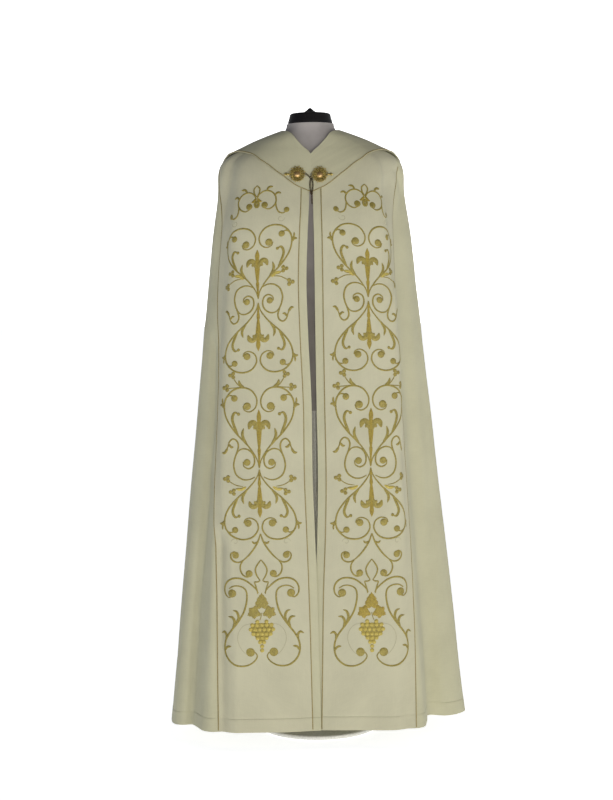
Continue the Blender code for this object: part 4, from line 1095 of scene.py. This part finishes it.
def link_chain(name, spots, up, long, wide, radius, smooth=True):
    """Oval links threaded along a line through spots, each turned a quarter from the last."""
    path = smooth_line(np.array(spots) * 1000.0, 1.0) / 1000.0 if smooth else np.array(spots)
    walk = walked(path)
    count = max(2, int(walk[-1] / (long - 2.6 * radius)))
    items = []
    for index in range(count):
        middle = (index + 0.5) * walk[-1] / count
        back, spot, ahead = (np.array([np.interp(middle + shift, walk, path[:, k]) for k in range(3)])
                             for shift in (-0.001, 0.0, 0.001))
        along = unit(ahead - back)
        face = unit(up - along * np.dot(up, along))
        side = np.cross(face, along)
        tilt = math.radians(38.0 if index % 2 else -38.0)
        cosine, sine = math.cos(tilt), math.sin(tilt)
        turn = np.column_stack([along, side * cosine + face * sine, face * cosine - side * sine])
        items.append(ring_wire(spot, turn, (long / 2.0, wide / 2.0), radius, 14))
    return join(name, items)


def clasp(right, left):
    """Two rosettes, the chain between them and the doubled end that hangs from its ring."""
    rosette("clasp_rosette_left", left, ROSETTE_LEFT, -1)
    rosette("clasp_rosette_right", right, ROSETTE_RIGHT, 1, RIGHT_SEAT)
    lift = HOOD_LIFT + WALL + GAP + 0.0016
    start = (ROSETTE_LEFT[0] + ROSETTE_WIDTH / 2.0 + 0.002, ROSETTE_LEFT[1] + 0.0006)
    ring = (0.0004, 1.3725)
    end = (ROSETTE_RIGHT[0] - ROSETTE_WIDTH / 2.0 - 0.002, ROSETTE_RIGHT[1] - 0.0012)
    sag = ((start[0] + ring[0]) / 2.0, (start[1] + ring[1]) / 2.0 - 0.0016)
    path = [front_frame(right if spot[0] > 0.0 else left, *spot, lift)[0]
            for spot in (start, sag, ring, end)]
    turn = front_frame(right, 0.0, 1.375, 0.0)[1]
    up = turn[:, 2]
    ride(link_chain("clasp_chain", path, up, 0.0052, 0.0036, 0.00055), "chain_metal", "clasp_chain")
    parts = []
    for shift in (-0.0034, 0.0034):
        spots = [front_frame(left, ring[0] + shift * reach, height, lift - 0.001)[0] for reach, height in
                 ((0.2, 1.3705), (0.8, 1.364), (1.0, 1.354), (0.8, 1.344), (0.4, 1.3365))]
        parts.append(link_chain("strand", spots, up, 0.0054, 0.0038, 0.00065))
    foot = front_frame(left, ring[0], 1.336, lift + 0.0006)[0]
    tail = (foot, foot + (0.0004, -0.0006, -0.0145), foot + (0.001, 0.0004, -0.029))
    parts.append(link_chain("tail", tail, up, 0.005, 0.0034, 0.0006, False))
    parts.append(ring_wire(front_frame(right, *ring, lift)[0], turn, (0.0034, 0.0034), 0.0008))
    for drop, wide, tall in ((0.0, 0.0034, 0.0022), (0.0034, 0.0026, 0.0026)):
        parts.append(ring_wire(foot - (0.0, 0.0, drop), turn, (wide, tall), 0.0009))
    ride(join("clasp_pendant", parts), "chain_metal", "clasp_pendant")


def quarter(steps, first=0):
    """Cosines and sines over a quarter turn."""
    angles = math.pi / 2.0 * np.arange(first, steps + 1) / steps
    return zip(np.cos(angles), np.sin(angles))


def stand():
    """The neck cap with its knob, the pole, its collar and the round base."""
    cap, low, high = NECK_TOP + GAP, 0.0565, 0.052
    profile = [(low - 0.0016, cap), (low - 0.0004, cap + 0.0006), (low, cap + 0.002),
               (low - 0.0008, cap + 0.007), (high + 0.0012, cap + 0.015)]
    profile += [(high - 0.0075 + 0.0075 * x, cap + 0.0205 + 0.0065 * y) for x, y in quarter(8)]
    profile += [(high - 0.012, cap + 0.0271), (high - 0.022, cap + 0.0271)]
    item = turned("form_cap", profile, BLACK, 96, NECK_DEPTH / NECK_WIDTH)
    ride(item, "black_lacquer", "form_cap")
    knob = ((0.0186, 0.0), (0.019, 0.0006), (0.0182, 0.0022), (0.015, 0.004), (0.0112, 0.0062),
            (0.008, 0.0086), (0.0056, 0.011), (0.0038, 0.0128), (0.0016, 0.0139))
    profile = [(reach, cap + 0.027 + GAP + rise) for reach, rise in knob]
    ride(turned("form_knob", profile, BLACK), "black_lacquer", "form_knob")
    radius, foot, top = 0.013, 0.012 + GAP, FORM_RINGS[-1][0] - GAP
    ends = ((radius - 0.0004, foot), (radius, foot + 0.0004), (radius, top - 0.0004), (radius - 0.0004, top))
    ride(turned("stand_pole", ends, WHITE), "white_lacquer", "stand_pole")
    bore, ring = radius + GAP, 0.03
    profile = [(bore, foot), (ring - 0.0008, foot), (ring, foot + 0.0008), (ring, foot + 0.0072)]
    profile += [(ring - (ring - bore - 0.004) * part, foot + 0.0075 + 0.0215 * part**1.5)
                for part in np.arange(1, 8) / 8.0]
    profile += [(bore + 0.004, foot + 0.0296), (bore + 0.003, foot + 0.03), (bore, foot + 0.03)]
    ride(turned("stand_collar", profile, WHITE, ring=True), "white_lacquer", "stand_collar")
    rim = 0.15
    profile = [(rim - 0.0012, 0.0), (rim - 0.0003, 0.0004), (rim, 0.0012), (rim, 0.0052)]
    profile += [(rim - 0.005 * (1.0 - x), 0.0052 + 0.0045 * y) for x, y in quarter(6, 1)]
    profile += [(rim * 0.82, 0.0119), (rim * 0.5, 0.012)]
    ride(turned("stand_base", profile, WHITE, 128), "white_lacquer", "stand_base")


clasp(right, left)
stand()


# Light from the sides of the sky (axis, direction, colour), dim above as in a gallery; the
# camera sees a white backdrop.
SKY = (("X", 1.0, (0.42, 0.42, 0.42)), ("X", -1.0, (0.1, 0.13, 0.2)),
       ("Y", -1.0, (0.25, 0.25, 0.27)), ("Y", 1.0, (0.9, 0.9, 0.9)))
KEY_POWER = 46.0
SIDE_POWER = 24.0
KEY_COLOUR = (1.06, 1.0, 0.86)
KEY_TARGET = (0.0, 0.0, 0.45)


def area_light(name, place, power):
    """A tall lamp that faces the lower part of the cope."""
    light = bpy.data.lights.new(name, "AREA")
    light.shape = "RECTANGLE"
    light.size, light.size_y = 0.35, 1.2
    light.energy = power
    light.color = KEY_COLOUR
    item = add_object(name, light)
    item.location = place
    item.rotation_euler = (Vector(KEY_TARGET) - Vector(place)).to_track_quat("-Z", "Y").to_euler()


# Floor, light and camera
floor_material = new_material("studio_floor", (0.93, 0.93, 0.93), 0.9, Specular_IOR_Level=0.1,
                              Emission_Color=(0.8, 0.81, 0.82, 1.0), Emission_Strength=1.0)[0]
floor = add_mesh("studio_floor", [(-30, -30, 0), (30, -30, 0), (30, 30, 0), (-30, 30, 0)],
                 [(0, 1, 2, 3)], floor_material)
floor.location.z = -0.0002

world = bpy.data.worlds.new("studio")
world.use_nodes = True
sky = world.node_tree
backdrop = sky.nodes["Background"]
backdrop.inputs["Strength"].default_value = 1.0
direction = node(sky, "SeparateXYZ", {0: node(sky, "TexCoord").outputs["Generated"]})
glow = node(sky, "LightPath").outputs["Is Camera Ray"]
for axis, sign, colour in SKY:
    part = compute(sky, "MAXIMUM", compute(sky, "MULTIPLY", direction.outputs[axis], sign), 0.0)
    share = compute(sky, "MULTIPLY", part, part)
    glow = compute(sky, "MULTIPLY_ADD", share, colour, glow, kind="VectorMath")
sky.links.new(glow, backdrop.inputs["Color"])
bpy.context.scene.world = world
area_light("key_low", (0.12, -4.3, 0.5), KEY_POWER)
area_light("key_right", (2.4, -3.5, 0.6), SIDE_POWER)
bpy.context.scene.view_settings.view_transform = "Standard"

DISTANCE, EYE, PIXEL = 4.2, 1.15, 2.53e-3
PICTURE_WIDTH, PICTURE_HEIGHT = 613, 800
AXIS_COLUMN, EYE_ROW = 312.5, 269.0  # where the pole's axis and the eye's height lie in the picture
camera = add_object("camera", bpy.data.cameras.new("camera"))
camera.data.sensor_width = 36.0
camera.data.lens = 36.0 * DISTANCE / (PICTURE_HEIGHT * PIXEL)
camera.data.shift_x = -(AXIS_COLUMN - PICTURE_WIDTH / 2.0) / PICTURE_HEIGHT
camera.data.shift_y = (EYE_ROW - PICTURE_HEIGHT / 2.0) / PICTURE_HEIGHT
camera.matrix_world = (
    Matrix.Translation((0.0, -DISTANCE, EYE))
    @ Matrix.Rotation(math.radians(0.9), 4, "Y")
    @ Matrix.Rotation(math.radians(90.0), 4, "X")
)
bpy.context.scene.camera = camera
